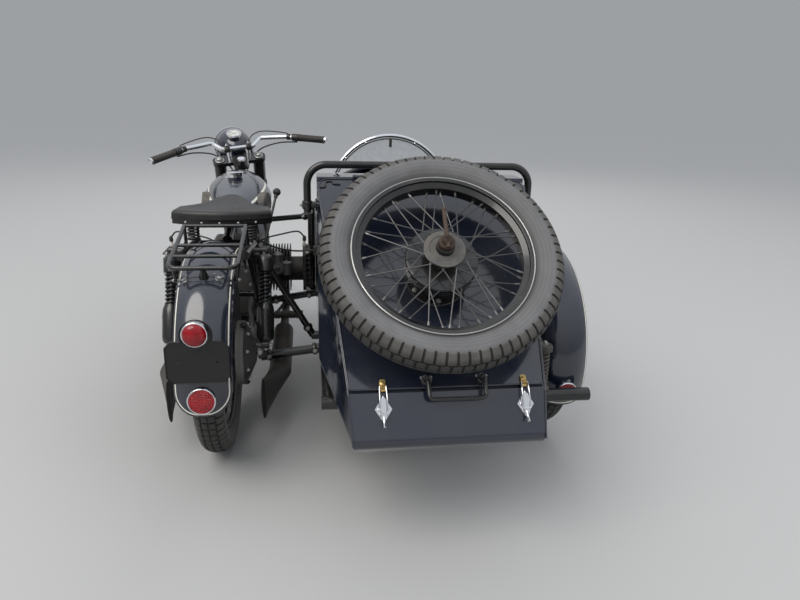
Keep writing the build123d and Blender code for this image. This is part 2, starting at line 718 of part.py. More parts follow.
def rack_point(x, y):
    return (x, y, RACK_REAR[1] + rack_rise * (y - RACK_REAR[0]))


rack_loop = tube(
    [
        rack_point(-RACK_HALF_WIDTH, RACK_FRONT[0]),
        rack_point(-RACK_HALF_WIDTH, RACK_REAR[0]),
        rack_point(RACK_HALF_WIDTH, RACK_REAR[0]),
        rack_point(RACK_HALF_WIDTH, RACK_FRONT[0]),
    ],
    30,
    RACK_TUBE,
)
stem_top = Vector(*rack_point(0, RACK_REAR[0]))
stem_line = (stem_top - Vector(0, 0, TYRE_RADIUS)).normalized()
stem_foot = Vector(0, 0, TYRE_RADIUS) + stem_line * (REAR_FENDER_RADIUS + SEAT_GAP)
with BuildPart() as luggage_rack:
    add(rack_loop)
    add(rod(stem_foot, stem_top, 15, RACK_TUBE / 2 - 1))
    for y in (RACK_REAR[0] + 80, RACK_REAR[0] + 160, RACK_FRONT[0]):
        add(rod(rack_point(-RACK_HALF_WIDTH, y), rack_point(RACK_HALF_WIDTH, y), RACK_TUBE / 2 - 1))
    for side in (-1, 1):
        add(
            rod(
                rack_point(side * RACK_HALF_WIDTH, RACK_REAR[0] + 60),
                (side * (REAR_FENDER_HALF_WIDTH + RACK_TUBE / 2 - 1 + SEAT_GAP), RACK_REAR[0] + 66, 645),
                RACK_TUBE / 2 - 1,
            )
        )
        add(
            rod(
                rack_point(side * RACK_HALF_WIDTH, RACK_FRONT[0]),
                (side * SUBFRAME_X, RACK_FRONT[0] + 30, SUBFRAME_Z + 20),
                RACK_TUBE / 2 - 1,
            )
        )
pieces["luggage_rack"] = luggage_rack.part

# Saddle: a sprung seat, wide behind and narrow at the nose, on two barrel springs and a nose pivot
with BuildPart() as saddle:
    with BuildSketch(Plane.XY.offset(SADDLE_Z)):
        with BuildLine():
            half = SADDLE_HALF_WIDTH
            ThreePointArc((-half, SADDLE_REAR_Y + 50), (0, SADDLE_REAR_Y), (half, SADDLE_REAR_Y + 50))
            for side in (-1, 1):
                Line((side * half, SADDLE_REAR_Y + 50), (side * (half - 8), SADDLE_REAR_Y + 130))
                ThreePointArc(
                    (side * (half - 8), SADDLE_REAR_Y + 130),
                    (side * (half - 84), SADDLE_REAR_Y + 215),
                    (side * 55, SADDLE_NOSE_Y - 30),
                )
            ThreePointArc((-55, SADDLE_NOSE_Y - 30), (0, SADDLE_NOSE_Y), (55, SADDLE_NOSE_Y - 30))
        make_face()
    extrude(amount=SADDLE_THICKNESS)
    fillet(saddle.faces().sort_by(Axis.Z)[-1].edges(), 18)
pieces["saddle"] = saddle.part

spring_y = SADDLE_REAR_Y + 40
spring_foot_z = subframe_height(spring_y - 23) + FRAME_TUBE / 2 + 1
nose_y = SADDLE_NOSE_Y - 40
top_slope = (head_high.Z - 36 - SEAT_TUBE_TOP_Z) / (head_high.Y - CRADLE_REAR_Y)
nose_foot_z = SEAT_TUBE_TOP_Z + top_slope * (nose_y + 10 - CRADLE_REAR_Y) + TOP_TUBE / 2 + 0.8
with BuildPart() as saddle_springs:
    for side in (-1, 1):
        add(
            rod(
                (side * SUBFRAME_X, spring_y, spring_foot_z),
                (side * SUBFRAME_X, spring_y, SADDLE_Z - SEAT_GAP),
                23,
            )
        )
    add(rod((0, nose_y, nose_foot_z), (0, nose_y, SADDLE_Z - SEAT_GAP), 10))
pieces["saddle_springs"] = saddle_springs.part

# Fuel tank: a rounded shell over the top tube, higher and wider towards its front
with BuildPart() as fuel_tank:
    for y, half, low, high in tank_rows:
        with BuildSketch(Plane(origin=(0, y, 0), x_dir=(1, 0, 0), z_dir=(0, -1, 0))):
            with BuildLine():
                Polyline((-half, (low + high) / 2), (-half + 12, low), (half - 12, low), (half, (low + high) / 2))
                ThreePointArc((half, (low + high) / 2), (0, high), (-half, (low + high) / 2))
            make_face()
    loft()
    fillet(fuel_tank.faces().sort_by(Axis.Y)[0].edges(), 18)
    add(
        tube(
            [tuple(on_head(0, -10, HEAD_HIGH - 40)), (0, CRADLE_REAR_Y, SEAT_TUBE_TOP_Z)],
            0,
            TOP_TUBE + 2 * SEAT_GAP,
        ),
        mode=Mode.SUBTRACT,
    )
    add(rod((0, 790, 835), (0, 790, 872), 33))
pieces["fuel_tank"] = fuel_tank.part

# Knee pads: ribbed rubber ovals on the tank sides
with BuildPart() as knee_pads:
    for side in (-1, 1):
        with BuildSketch(Plane(origin=(side * 118, 745, 745), x_dir=(0, 1, 0), z_dir=(side, -0.12, 0.1))):
            Ellipse(88, 46)
        extrude(amount=26)
    add(fuel_tank.part, mode=Mode.SUBTRACT)
pieces["knee_pads"] = knee_pads.part

# Engine: the twin's crankcase with its timing cover, and the gearbox with the air cleaner on top
with BuildPart() as engine_case:
    with BuildSketch(Plane.YZ.offset(-CASE_HALF_WIDTH)) as case_side:
        with BuildLine():
            Polyline(
                (CASE_REAR_Y, sump_z + 40),
                (CASE_REAR_Y, CASE_TOP_Z),
                (CASE_FRONT_Y - 60, CASE_TOP_Z),
                (CASE_FRONT_Y, CASE_TOP_Z - 60),
                (CASE_FRONT_Y, sump_z + 70),
                (CASE_FRONT_Y - 50, sump_z),
                (CASE_REAR_Y + 40, sump_z),
                close=True,
            )
        make_face()
        fillet(case_side.vertices(), 16)
    extrude(amount=2 * CASE_HALF_WIDTH)
    fillet(engine_case.edges().filter_by(Axis.Y), 14)
    add(rod((0, CASE_FRONT_Y - 4, ENGINE_Z + 20), (0, CASE_FRONT_Y + 16, ENGINE_Z + 20), 88))
    with BuildSketch(Plane.XZ.offset(-CASE_REAR_Y - 1)) as box_face:
        with Locations((0, GEARBOX_Z)):
            RectangleRounded(2 * GEARBOX_HALF_WIDTH, GEARBOX_HEIGHT, 50)
    extrude(amount=CASE_REAR_Y + 1 - GEARBOX_REAR_Y - 18)
    with BuildSketch(Plane.XZ.offset(-GEARBOX_REAR_Y - 20)):
        with Locations((0, GEARBOX_Z)):
            RectangleRounded(2 * GEARBOX_HALF_WIDTH - 24, GEARBOX_HEIGHT - 24, 40)
    extrude(amount=20)
    add(rod((0, CASE_REAR_Y - 60, GEARBOX_Z + 100), (0, CASE_REAR_Y - 60, GEARBOX_Z + 186), 62))
pieces["engine_case"] = engine_case.part

# Cylinders: finned iron barrels lying flat, with ribbed alloy heads at their ends
with BuildPart() as cylinder:
    with BuildSketch(Plane.YZ.offset(CASE_HALF_WIDTH + SEAT_GAP)):
        with Locations((ENGINE_Y, ENGINE_Z)):
            Circle(BARREL_RADIUS)
    extrude(amount=CYLINDER_END_X - HEAD_THICKNESS - CASE_HALF_WIDTH)
    for k in range(FIN_COUNT):
        with BuildSketch(Plane.YZ.offset(CASE_HALF_WIDTH + 26 + k * FIN_PITCH)):
            with Locations((ENGINE_Y, ENGINE_Z + 8)):
                RectangleRounded(2 * FIN_HALF_DEPTH, 2 * FIN_HALF_HEIGHT, 34)
    extrude(amount=FIN_THICKNESS)
    with BuildSketch(Plane.YZ.offset(CYLINDER_END_X - HEAD_THICKNESS)):
        with Locations((ENGINE_Y, ENGINE_Z + 8)):
            RectangleRounded(2 * FIN_HALF_DEPTH, 2 * FIN_HALF_HEIGHT, 30)
    extrude(amount=14)
    for k in range(HEAD_FIN_COUNT):
        z = ENGINE_Z + 8 - FIN_HALF_HEIGHT + 14 + k * HEAD_FIN_PITCH
        with BuildSketch(Plane.YZ.offset(CYLINDER_END_X - HEAD_THICKNESS + 14)):
            with Locations((ENGINE_Y, z)):
                Rectangle(2 * FIN_HALF_DEPTH - 16, 5)
    extrude(amount=HEAD_THICKNESS - 14)
with BuildPart() as cylinders:
    add(both_sides(cylinder.part))
pieces["cylinders"] = cylinders.part

# Carburettors: one behind each cylinder, with its float chamber and its inlet pipe
with BuildPart() as carburettor:
    port_y = ENGINE_Y - FIN_HALF_DEPTH
    add(rod((CARB_X, port_y - SEAT_GAP, CARB_Z), (CARB_X, port_y - 40, CARB_Z), 17))
    add(rod((CARB_X, port_y - 62, CARB_Z - 30), (CARB_X, port_y - 62, CARB_Z + 52), 21))
    add(rod((CARB_X, port_y - 36, CARB_Z), (CARB_X, port_y - 92, CARB_Z), 24))
    add(rod((CARB_X + 38, port_y - 62, CARB_Z - 34), (CARB_X + 38, port_y - 62, CARB_Z + 16), 20))
    add(
        tube(
            [
                (CARB_X, port_y - 90, CARB_Z),
                (CARB_X - 20, port_y - 128, CARB_Z + 8),
                (48, CASE_REAR_Y - 60, GEARBOX_Z + 120),
            ],
            20,
            26,
        )
    )
with BuildPart() as carburettors:
    add(both_sides(carburettor.part))
    add(engine_case.part, mode=Mode.SUBTRACT)
pieces["carburettors"] = carburettors.part

# Exhausts: a pipe from each cylinder's front, down and back to a silencer with a tall fishtail end
with BuildPart() as exhaust:
    add(
        tube(
            [
                (EXHAUST_X, ENGINE_Y + FIN_HALF_DEPTH + SEAT_GAP, ENGINE_Z + 36),
                (EXHAUST_X, ENGINE_Y + 168, ENGINE_Z + 36),
                (EXHAUST_X, ENGINE_Y + 150, SILENCER_Z + 20),
                (EXHAUST_X, ENGINE_Y + 40, SILENCER_Z),
                (EXHAUST_X, SILENCER_FRONT_Y - 10, SILENCER_Z),
            ],
            36,
            EXHAUST_TUBE,
        )
    )
    silencer_neck = Vector(EXHAUST_X, SILENCER_FRONT_Y - 60, SILENCER_Z)
    add(rod((EXHAUST_X, SILENCER_FRONT_Y, SILENCER_Z), silencer_neck, 22, SILENCER_RADIUS))
    add(rod(silencer_neck, (EXHAUST_X, SILENCER_REAR_Y, SILENCER_Z), SILENCER_RADIUS))
    with BuildSketch(Plane(origin=(EXHAUST_X, SILENCER_REAR_Y, SILENCER_Z), z_dir=(0, -1, 0))):
        Circle(SILENCER_RADIUS)
    with BuildSketch(Plane(origin=(FISHTAIL_X, FISHTAIL_Y, FISHTAIL_Z), x_dir=(1, 0, 0), z_dir=(0, -1, 0))):
        Ellipse(8, FISHTAIL_HEIGHT / 2)
    loft()
with BuildPart() as exhausts:
    add(both_sides(exhaust.part))
pieces["exhausts"] = exhausts.part

# Controls beside the gearbox: rubber footrests on the frame stubs, the kick lever on the left, the
# brake pedal and the long hand lever of the gears on the right
lever_foot = Vector(GEARBOX_HALF_WIDTH + 8, 520, 500)
lever_ball = Vector(*GEAR_BALL)
kick_foot = Vector(-GEARBOX_HALF_WIDTH - 14, 480, 400)
kick_end = Vector(-CRADLE_X - 31, 430, 560)
pedal_foot = Vector(CRADLE_X + FRAME_TUBE / 2 + 10, 600, CRADLE_Z)
pedal_end = Vector(EXHAUST_X, 664, 301)
with BuildPart() as foot_controls:
    for side in (-1, 1):
        add(
            rod(
                (side * (CRADLE_X + 52 + SEAT_GAP), PEG_Y, PEG_Z), (side * (CRADLE_X + 172), PEG_Y, PEG_Z), 17
            )
        )
    add(rod((GEARBOX_HALF_WIDTH + SEAT_GAP, lever_foot.Y, lever_foot.Z), lever_foot + Vector(8, 0, 0), 16))
    add(rod(lever_foot, lever_ball, 7, 5))
    with Locations(lever_ball):
        Sphere(17)
    add(rod((-GEARBOX_HALF_WIDTH - SEAT_GAP, kick_foot.Y, kick_foot.Z), kick_foot - Vector(9, 0, 0), 15))
    add(rod(kick_foot, kick_end, 9, 8))
    add(rod(kick_end + Vector(8, 0, 0), kick_end - Vector(66, 0, 0), 12))
    add(rod((CRADLE_X + FRAME_TUBE / 2 + SEAT_GAP, pedal_foot.Y, CRADLE_Z), pedal_foot + Vector(9, 0, 0), 13))
    add(rod(pedal_foot, pedal_end, 7))
    add(
        block(
            (EXHAUST_X - 8, pedal_end.Y - 16, pedal_end.Z - 5),
            (EXHAUST_X + 62, pedal_end.Y + 16, pedal_end.Z + 7),
            8,
        )
    )
pieces["foot_controls"] = foot_controls.part


# Fork: two telescopic legs with shrouds, the two yokes, the stem in the head, and the front axle
with BuildPart() as fork:
    for side in (-1, 1):
        x = side * FORK_HALF_SPACING
        add(rod(on_head(x, FORK_OFFSET, -18), on_head(x, FORK_OFFSET, 340), FORK_SLIDER_RADIUS))
        add(rod(on_head(x, FORK_OFFSET, 325), on_head(x, FORK_OFFSET, YOKE_TOP), FORK_SHROUD_RADIUS))
        pad_x = side * (FRONT_FENDER_HALF_WIDTH + SEAT_GAP)
        add(rod(on_head(pad_x, FORK_OFFSET, 332), on_head(x, FORK_OFFSET, 332), 9))
    axle_half = FORK_HALF_SPACING + FORK_SLIDER_RADIUS + 6
    add(rod(on_head(-axle_half, FORK_OFFSET, 0), on_head(axle_half, FORK_OFFSET, 0), AXLE_RADIUS))
    add(rod(on_head(0, 0, HEAD_LOW - YOKE_GAP - YOKE_THICKNESS), on_head(0, 0, YOKE_TOP + 14), STEM_RADIUS))
    for height in (HEAD_LOW - YOKE_GAP - YOKE_THICKNESS, YOKE_TOP - YOKE_THICKNESS):
        with BuildSketch(Plane(origin=on_head(0, 0, height), x_dir=(1, 0, 0), z_dir=steer_axis)):
            with Locations((0, FORK_OFFSET)):
                RectangleRounded(2 * (FORK_HALF_SPACING + FORK_SHROUD_RADIUS + 4), 64, 28)
            with Locations((0, 24)):
                RectangleRounded(72, 90, 30)
        extrude(amount=YOKE_THICKNESS)
    add(rod(on_head(0, 0, YOKE_TOP + 10), on_head(0, 0, YOKE_TOP + 32), 20, 14))
pieces["fork"] = turned(fork.part)

# Handlebar: one bent chromed tube on two risers, with a lever in front of each grip
bar_points = [
    (-BAR_TIP[0], BAR_TIP[1], BAR_TIP[2]),
    (-BAR_BEND[0], BAR_BEND[1], BAR_BEND[2]),
    (-BAR_RISE[0], BAR_RISE[1], BAR_RISE[2]),
    (-BAR_CLAMP[0], BAR_CLAMP[1], BAR_CLAMP[2]),
]
bar_points += [(-x, y, z) for x, y, z in reversed(bar_points)]
grip_line = (Vector(*bar_points[0]) - Vector(*bar_points[1])).normalized()
with BuildPart() as handlebar:
    add(tube(bar_points, 26, BAR_TUBE))
    for side in (-1, 1):
        foot = on_head(side * RISER_X, 52, YOKE_TOP - 4)
        add(rod(foot, (side * RISER_X, BAR_CLAMP[1], BAR_CLAMP[2] + 6), 12))
        tip = Vector(side * BAR_TIP[0], BAR_TIP[1], BAR_TIP[2])
        bend = Vector(side * BAR_BEND[0], BAR_BEND[1], BAR_BEND[2])
        outward = (tip - bend).normalized()
        forward = Vector(side * 0.45, 0.89, 0)
        perch = bend + outward * 6
        add(rod(perch - forward * 2, perch + forward * 42, 9))
        add(rod(perch + forward * 38, perch + forward * 44 + outward * 150, 6, 5))
    add(fork.part, mode=Mode.SUBTRACT)
pieces["handlebar"] = turned(handlebar.part)

with BuildPart() as grips:
    for side in (-1, 1):
        tip = Vector(side * BAR_TIP[0], BAR_TIP[1], BAR_TIP[2])
        bend = Vector(side * BAR_BEND[0], BAR_BEND[1], BAR_BEND[2])
        outward = (tip - bend).normalized()
        add(rod(tip - outward * GRIP_LENGTH, tip + outward * 4, 17))
    add(handlebar.part, mode=Mode.SUBTRACT)
pieces["grips"] = turned(grips.part)

# Headlamp: a turned steel shell with a chromed rim, the speedometer set in its top, and two ears
with BuildPart() as lamp_shell:
    with BuildSketch(Plane.XY):
        with BuildLine():
            ThreePointArc((0, -96), (66, -52), (HEADLAMP_RADIUS - 4, 40))
            Polyline(
                (HEADLAMP_RADIUS - 4, 40),
                (HEADLAMP_RADIUS - 4, 74),
                (HEADLAMP_RADIUS, 76),
                (HEADLAMP_RADIUS, 88),
                (0, 88),
                (0, -96),
            )
        make_face()
    revolve(axis=Axis.Y)
ear_ahead = FORK_OFFSET + FORK_SHROUD_RADIUS - 6 + SEAT_GAP
with BuildPart() as headlamp:
    add(Location((0, *HEADLAMP)) * lamp_shell.part)
    add(rod((0, HEADLAMP[0] - 48, HEADLAMP[1] + 30), (0, HEADLAMP[0] - 66, HEADLAMP[1] + 66), SPEEDO_RADIUS))
    for side in (-1, 1):
        add(
            rod(
                on_head(side * (FORK_HALF_SPACING - 12), ear_ahead, YOKE_TOP - 26),
                (side * (HEADLAMP_RADIUS - 14), HEADLAMP[0], HEADLAMP[1] - 16),
                8,
            )
        )
    add(fork.part, mode=Mode.SUBTRACT)
pieces["headlamp"] = turned(headlamp.part)

with BuildPart() as lens_disc:
    with BuildSketch(Plane.XY):
        with BuildLine():
            ThreePointArc((0, 103), (50, 98), (HEADLAMP_RADIUS - 6, 88 + SEAT_GAP))
            Polyline((HEADLAMP_RADIUS - 6, 88 + SEAT_GAP), (0, 88 + SEAT_GAP), (0, 103))
        make_face()
    revolve(axis=Axis.Y)
pieces["headlamp_lens"] = turned(Location((0, *HEADLAMP)) * lens_disc.part)


# Sidecar body: a hollow steel shell, straight sided behind the cowl and lofted to a boat-like nose
def half_width_at(y):
    """Half the body's width at a station: it narrows behind its widest point."""
    if y >= WIDEST_Y:
        return BODY_HALF_WIDTH
    return BODY_HALF_WIDTH - TAIL_TAPER * (WIDEST_Y - y) / (WIDEST_Y - TAIL_Y)


def on_lid(along, out):
    """A point on the lid's middle plane: its distance down the lid and its height above it."""
    return Vector(0, *LID_TOP) + lid_down * along + lid_out * out


def rear_shell(inset):
    """The body from its tail to the cowl: a side outline cut by a plan outline."""
    lid_seat = -(LID_THICKNESS + SEAT_GAP)
    seat_top = on_lid(0, lid_seat)
    seat_low = on_lid(lid_length + LID_EDGE_GAP, lid_seat)
    lip = on_lid(lid_length + LID_EDGE_GAP, 0)
    with BuildPart() as piece:
        with BuildSketch(Plane.YZ.offset(body_x - 400)) as side:
            with BuildLine():
                FilletPolyline(
                    (COWL_Y, COCKPIT_SIDE_Z),
                    (150, COCKPIT_SIDE_Z),
                    (60, 860),
                    (BACKREST_TOP_Y, BACKREST_TOP_Z),
                    (seat_top.Y, BACKREST_TOP_Z),
                    (seat_top.Y, seat_top.Z),
                    (seat_low.Y, seat_low.Z),
                    (lip.Y, lip.Z),
                    TAIL_CORNER,
                    (TAIL_CORNER[0] + 50, FLOOR_Z),
                    radius=[150, 60, 20, 3, 2, 2, 4, 26],
                )
                Polyline((TAIL_CORNER[0] + 50, FLOOR_Z), (COWL_Y, FLOOR_Z), (COWL_Y, COCKPIT_SIDE_Z))
            make_face()
            if inset:
                offset(amount=-inset, kind=Kind.INTERSECTION)
        extrude(amount=800)
        with BuildSketch(Plane.XY.offset(FLOOR_Z - 50)):
            with BuildLine():
                tail = tail_half_width - inset
                wide = BODY_HALF_WIDTH - inset
                Polyline(
                    (body_x - tail, TAIL_Y),
                    (body_x - wide, WIDEST_Y),
                    (body_x - wide, COWL_Y + 50),
                    (body_x + wide, COWL_Y + 50),
                    (body_x + wide, WIDEST_Y),
                    (body_x + tail, TAIL_Y),
                    close=True,
                )
            make_face()
        extrude(amount=800, mode=Mode.INTERSECT)
        low_edges = [
            edge
            for edge in piece.edges()
            if abs(edge.center().Z - FLOOR_Z - inset) < 0.1 and edge.bounding_box().size.Y > 100
        ]
        fillet(low_edges, FLOOR_RADIUS - inset)
    return piece.part


def nose_shell(inset):
    """The body from the cowl to the nose: four ring sections, each a flat floor with a crowned top."""
    with BuildPart() as piece:
        for y, half, low, side_top, crown, low_radius, high_radius in nose_rows:
            at_tip = y == nose_rows[-1][0]
            at_cowl = y == nose_rows[0][0]
            station = y - inset if at_tip else y
            with BuildSketch(
                Plane(origin=(body_x, station, 0), x_dir=(1, 0, 0), z_dir=(0, -1, 0))
            ) as ring:
                w = half - inset
                with BuildLine():
                    Polyline((-w, side_top - inset), (-w, low + inset), (w, low + inset), (w, side_top - inset))
                    ThreePointArc((w, side_top - inset), (0, crown - inset), (-w, side_top - inset))
                make_face()
                fillet(ring.vertices().group_by(Axis.Y)[0], low_radius - inset)
                fillet(ring.vertices().group_by(Axis.Y)[-1], high_radius - inset)
        loft()
        if not inset:
            fillet(piece.faces().sort_by(Axis.Y)[-1].edges(), NOSE_EDGE_RADIUS)
    return piece.part


nose_outer = nose_shell(0)
with BuildPart() as sidecar_body:
    add(rear_shell(0))
    add(nose_outer)
    add(rear_shell(BODY_WALL), mode=Mode.SUBTRACT)
    add(nose_shell(BODY_WALL), mode=Mode.SUBTRACT)
    add(
        block(
            (body_x - BODY_HALF_WIDTH + COAMING, BACKREST_TOP_Y + 11, 640),
            (body_x + BODY_HALF_WIDTH - COAMING, COWL_Y - BODY_WALL, 1100),
            20,
        ),
        mode=Mode.SUBTRACT,
    )
    add(
        block(
            (body_x - BODY_HALF_WIDTH + BODY_WALL + 30, COWL_Y - 30, FLOOR_Z + 60),
            (body_x + BODY_HALF_WIDTH - BODY_WALL - 30, COWL_Y + 10, COCKPIT_SIDE_Z - 60),
        ),
        mode=Mode.SUBTRACT,
    )
    with BuildSketch(lid_plane.offset(5 - LID_THICKNESS)):
        with BuildLine():
            top_half = half_width_at(LID_TOP[0]) - COAMING
            low_half = half_width_at(LID_LOW[0]) - COAMING
            Polyline(
                (-top_half, 34),
                (top_half, 34),
                (low_half, lid_length - 26),
                (-low_half, lid_length - 26),
                close=True,
            )
        make_face()
    extrude(amount=-60, mode=Mode.SUBTRACT)
    add(
        block(
            (body_x - BODY_HALF_WIDTH + 2, BACKREST_TOP_Y - BODY_WALL, FLOOR_Z + 2),
            (body_x + BODY_HALF_WIDTH - 2, BACKREST_TOP_Y, BACKREST_TOP_Z - 2),
        ).intersect(rear_shell(2))
    )
    for side in (-1, 1):
        x = body_x + side * HINGE_SPREAD
        hinge = on_lid(HINGE_BACK, HINGE_RISE)
        for ear in (-1, 1):
            ear_x = x + ear * (HINGE_LEAF_HALF + 8)
            add(rod((ear_x - 7, hinge.Y, hinge.Z), (ear_x + 7, hinge.Y, hinge.Z), HINGE_RADIUS))
            add(
                block(
                    (ear_x - 7, hinge.Y, hinge.Z - 4),
                    (ear_x + 7, hinge.Y + 44, BACKREST_TOP_Z + 3),
                )
            )
        reach = HINGE_LEAF_HALF + 8
        add(rod((x - reach, hinge.Y, hinge.Z), (x + reach, hinge.Y, hinge.Z), HINGE_PIN_RADIUS))
pieces["sidecar_body"] = sidecar_body.part

# Trunk lid: a pressed panel with a folded rim, hinged at its top edge
with BuildPart() as trunk_lid:
    with BuildSketch(lid_plane) as lid_face:
        with BuildLine():
            top_half = half_width_at(LID_TOP[0]) - 1
            low_half = half_width_at(LID_LOW[0]) - 1
            Polyline((-top_half, 0), (top_half, 0), (low_half, lid_length), (-low_half, lid_length), close=True)
        make_face()
        fillet(lid_face.vertices().group_by(Axis.Y)[0], 38)
        fillet(lid_face.vertices().group_by(Axis.Y)[-1], 14)
    extrude(amount=-LID_THICKNESS)
    with BuildSketch(lid_plane.offset(-LID_THICKNESS)):
        with BuildLine():
            Polyline(
                (-top_half + 46, 40),
                (top_half - 46, 40),
                (low_half - 40, lid_length - 36),
                (-low_half + 40, lid_length - 36),
                close=True,
            )
        make_face()
    extrude(amount=LID_THICKNESS - LID_SKIN, mode=Mode.SUBTRACT)
    for side in (-1, 1):
        x = body_x + side * HINGE_SPREAD
        hinge = on_lid(HINGE_BACK, HINGE_RISE)
        add(
            rod(
                (x - HINGE_LEAF_HALF, hinge.Y, hinge.Z), (x + HINGE_LEAF_HALF, hinge.Y, hinge.Z), HINGE_RADIUS
            )
        )
        with BuildSketch(lid_plane):
            with Locations((-side * HINGE_SPREAD, 12)):
                Rectangle(2 * HINGE_LEAF_HALF, 36)
        extrude(amount=5)
        add(
            rod(
                (x - HINGE_LEAF_HALF - 1, hinge.Y, hinge.Z),
                (x + HINGE_LEAF_HALF + 1, hinge.Y, hinge.Z),
                HINGE_PIN_RADIUS + RUNNING_CLEARANCE,
            ),
            mode=Mode.SUBTRACT,
        )
pieces["trunk_lid"] = trunk_lid.part

# Lid handle: a bent rod that hangs below the lid's lower edge
handle_x = body_x + HANDLE_SHIFT
handle_points = [
    Vector(handle_x - HANDLE_HALF_WIDTH, 0, 0) + on_lid(lid_length - 22, SEAT_GAP),
    Vector(handle_x - HANDLE_HALF_WIDTH, 0, 0) + on_lid(lid_length - 22, 30),
    Vector(handle_x - HANDLE_HALF_WIDTH, 0, 0) + on_lid(lid_length + 40, 22),
    Vector(handle_x + HANDLE_HALF_WIDTH, 0, 0) + on_lid(lid_length + 40, 22),
    Vector(handle_x + HANDLE_HALF_WIDTH, 0, 0) + on_lid(lid_length - 22, 30),
    Vector(handle_x + HANDLE_HALF_WIDTH, 0, 0) + on_lid(lid_length - 22, SEAT_GAP),
]
pieces["lid_handle"] = tube([tuple(point) for point in handle_points], 12, 12)

# Latches: a plate with a lever on the tail panel, and a tongue on the lid's edge, twice
panel_run = Vector(0, *TAIL_CORNER) - on_lid(lid_length + LID_EDGE_GAP, 0)
panel_down = panel_run.normalized()
panel_out = Vector(0, panel_down.Z, -panel_down.Y)
with BuildPart() as latch_plates:
    for latch_offset in LATCH_OFFSETS:
        seat = Vector(body_x + latch_offset, 0, 0) + on_lid(lid_length + LID_EDGE_GAP, 0) + panel_down * 46
        face = Plane(origin=seat + panel_out * SEAT_GAP, x_dir=(-1, 0, 0), z_dir=panel_out)
        with BuildSketch(face):
            with BuildLine():
                Polyline((-23, 0), (0, 36), (23, 0), (0, -36), close=True)
            make_face()
        extrude(amount=4)
        with BuildSketch(face.offset(4)):
            RectangleRounded(14, 56, 6)
        extrude(amount=9)
pieces["latch_plates"] = latch_plates.part
with BuildPart() as lid_tongues:
    for latch_offset in LATCH_OFFSETS:
        with BuildSketch(
            Plane(
                origin=Vector(body_x + latch_offset, 0, 0) + on_lid(lid_length - 10, SEAT_GAP),
                x_dir=(-1, 0, 0),
                z_dir=lid_out,
            )
        ):
            RectangleRounded(16, 34, 5)
        extrude(amount=6)
pieces["lid_tongues"] = lid_tongues.part

# Spare wheel carrier: a cone on the lid, its stud through the hub, and a lever nut outside
spare_seat = Vector(body_x, 0, 0) + on_lid(SPARE_ALONG, 0)


def on_stud(out):
    return spare_seat + lid_out * out


hub_low = SPARE_STANDOFF - HUB_HALF_LENGTH
hub_high = SPARE_STANDOFF + HUB_HALF_LENGTH
with BuildPart() as spare_carrier:
    add(rod(on_stud(SEAT_GAP), on_stud(8), 88))
    add(rod(on_stud(8), on_stud(hub_low - SEAT_GAP), 60, 26))
    add(rod(on_stud(20), on_stud(hub_high + 30), AXLE_RADIUS))
    add(rod(on_stud(hub_high + SEAT_GAP), on_stud(hub_high + 16), 21))
    add(rod(on_stud(hub_high + 16), on_stud(hub_high + 26), 15))
    add(
        rod(
            on_stud(hub_high + 21) + lid_down * 16,
            on_stud(hub_high + 24) - lid_down * 92,
            6,
        )
    )
pieces["spare_carrier"] = spare_carrier.part

# Seat of the sidecar: a sprung cushion on the floor and a backrest against the bulkhead
cushion_half = BODY_HALF_WIDTH - CUSHION_SIDE_GAP
backrest_half = BODY_HALF_WIDTH - BACKREST_SIDE_GAP
with BuildPart() as sidecar_seat:
    add(
        block(
            (body_x - cushion_half, BACKREST_TOP_Y + 60, FLOOR_Z + BODY_WALL + SEAT_GAP),
            (body_x + cushion_half, CUSHION_FRONT_Y, CUSHION_TOP_Z),
            40,
        )
    )
    fillet(sidecar_seat.faces().sort_by(Axis.Z)[-1].edges(), 25)
pieces["sidecar_seat"] = sidecar_seat.part
with BuildPart() as sidecar_backrest:
    with BuildSketch(Plane.YZ.offset(body_x - backrest_half)):
        with BuildLine():
            Polyline(
                (BACKREST_TOP_Y + SEAT_GAP, CUSHION_TOP_Z + SEAT_GAP),
                (BACKREST_TOP_Y + 150, CUSHION_TOP_Z + SEAT_GAP),
                (BACKREST_TOP_Y + 90, BACKREST_TOP_Z - 46),
                (BACKREST_TOP_Y + SEAT_GAP, BACKREST_TOP_Z - 46),
                close=True,
            )
        make_face()
    extrude(amount=2 * backrest_half)
    fillet(sidecar_backrest.faces().sort_by(Axis.Y)[-1].edges(), 22)
pieces["sidecar_backrest"] = sidecar_backrest.part

# Grab rail: a tube hoop behind the passenger, clamped to both sides of the body
rail_left = body_x - rail_half_width
rail_right = body_x + rail_half_width
with BuildPart() as grab_rail:
    add(
        tube(
            [
                (rail_left, RAIL_Y, RAIL_FOOT_Z),
                (rail_left, RAIL_Y, RAIL_TOP_Z),
                (rail_right, RAIL_Y, RAIL_TOP_Z),
                (rail_right, RAIL_Y, RAIL_FOOT_Z),
            ],
            62,
            RAIL_TUBE,
        )
    )
    for side in (-1, 1):
        add(
            rod(
                (body_x + side * rail_half_width, RAIL_Y, RAIL_FOOT_Z + 22),
                (body_x + side * (BODY_HALF_WIDTH + SEAT_GAP), RAIL_Y, RAIL_FOOT_Z + 22),
                11,
            )
        )
pieces["grab_rail"] = grab_rail.part

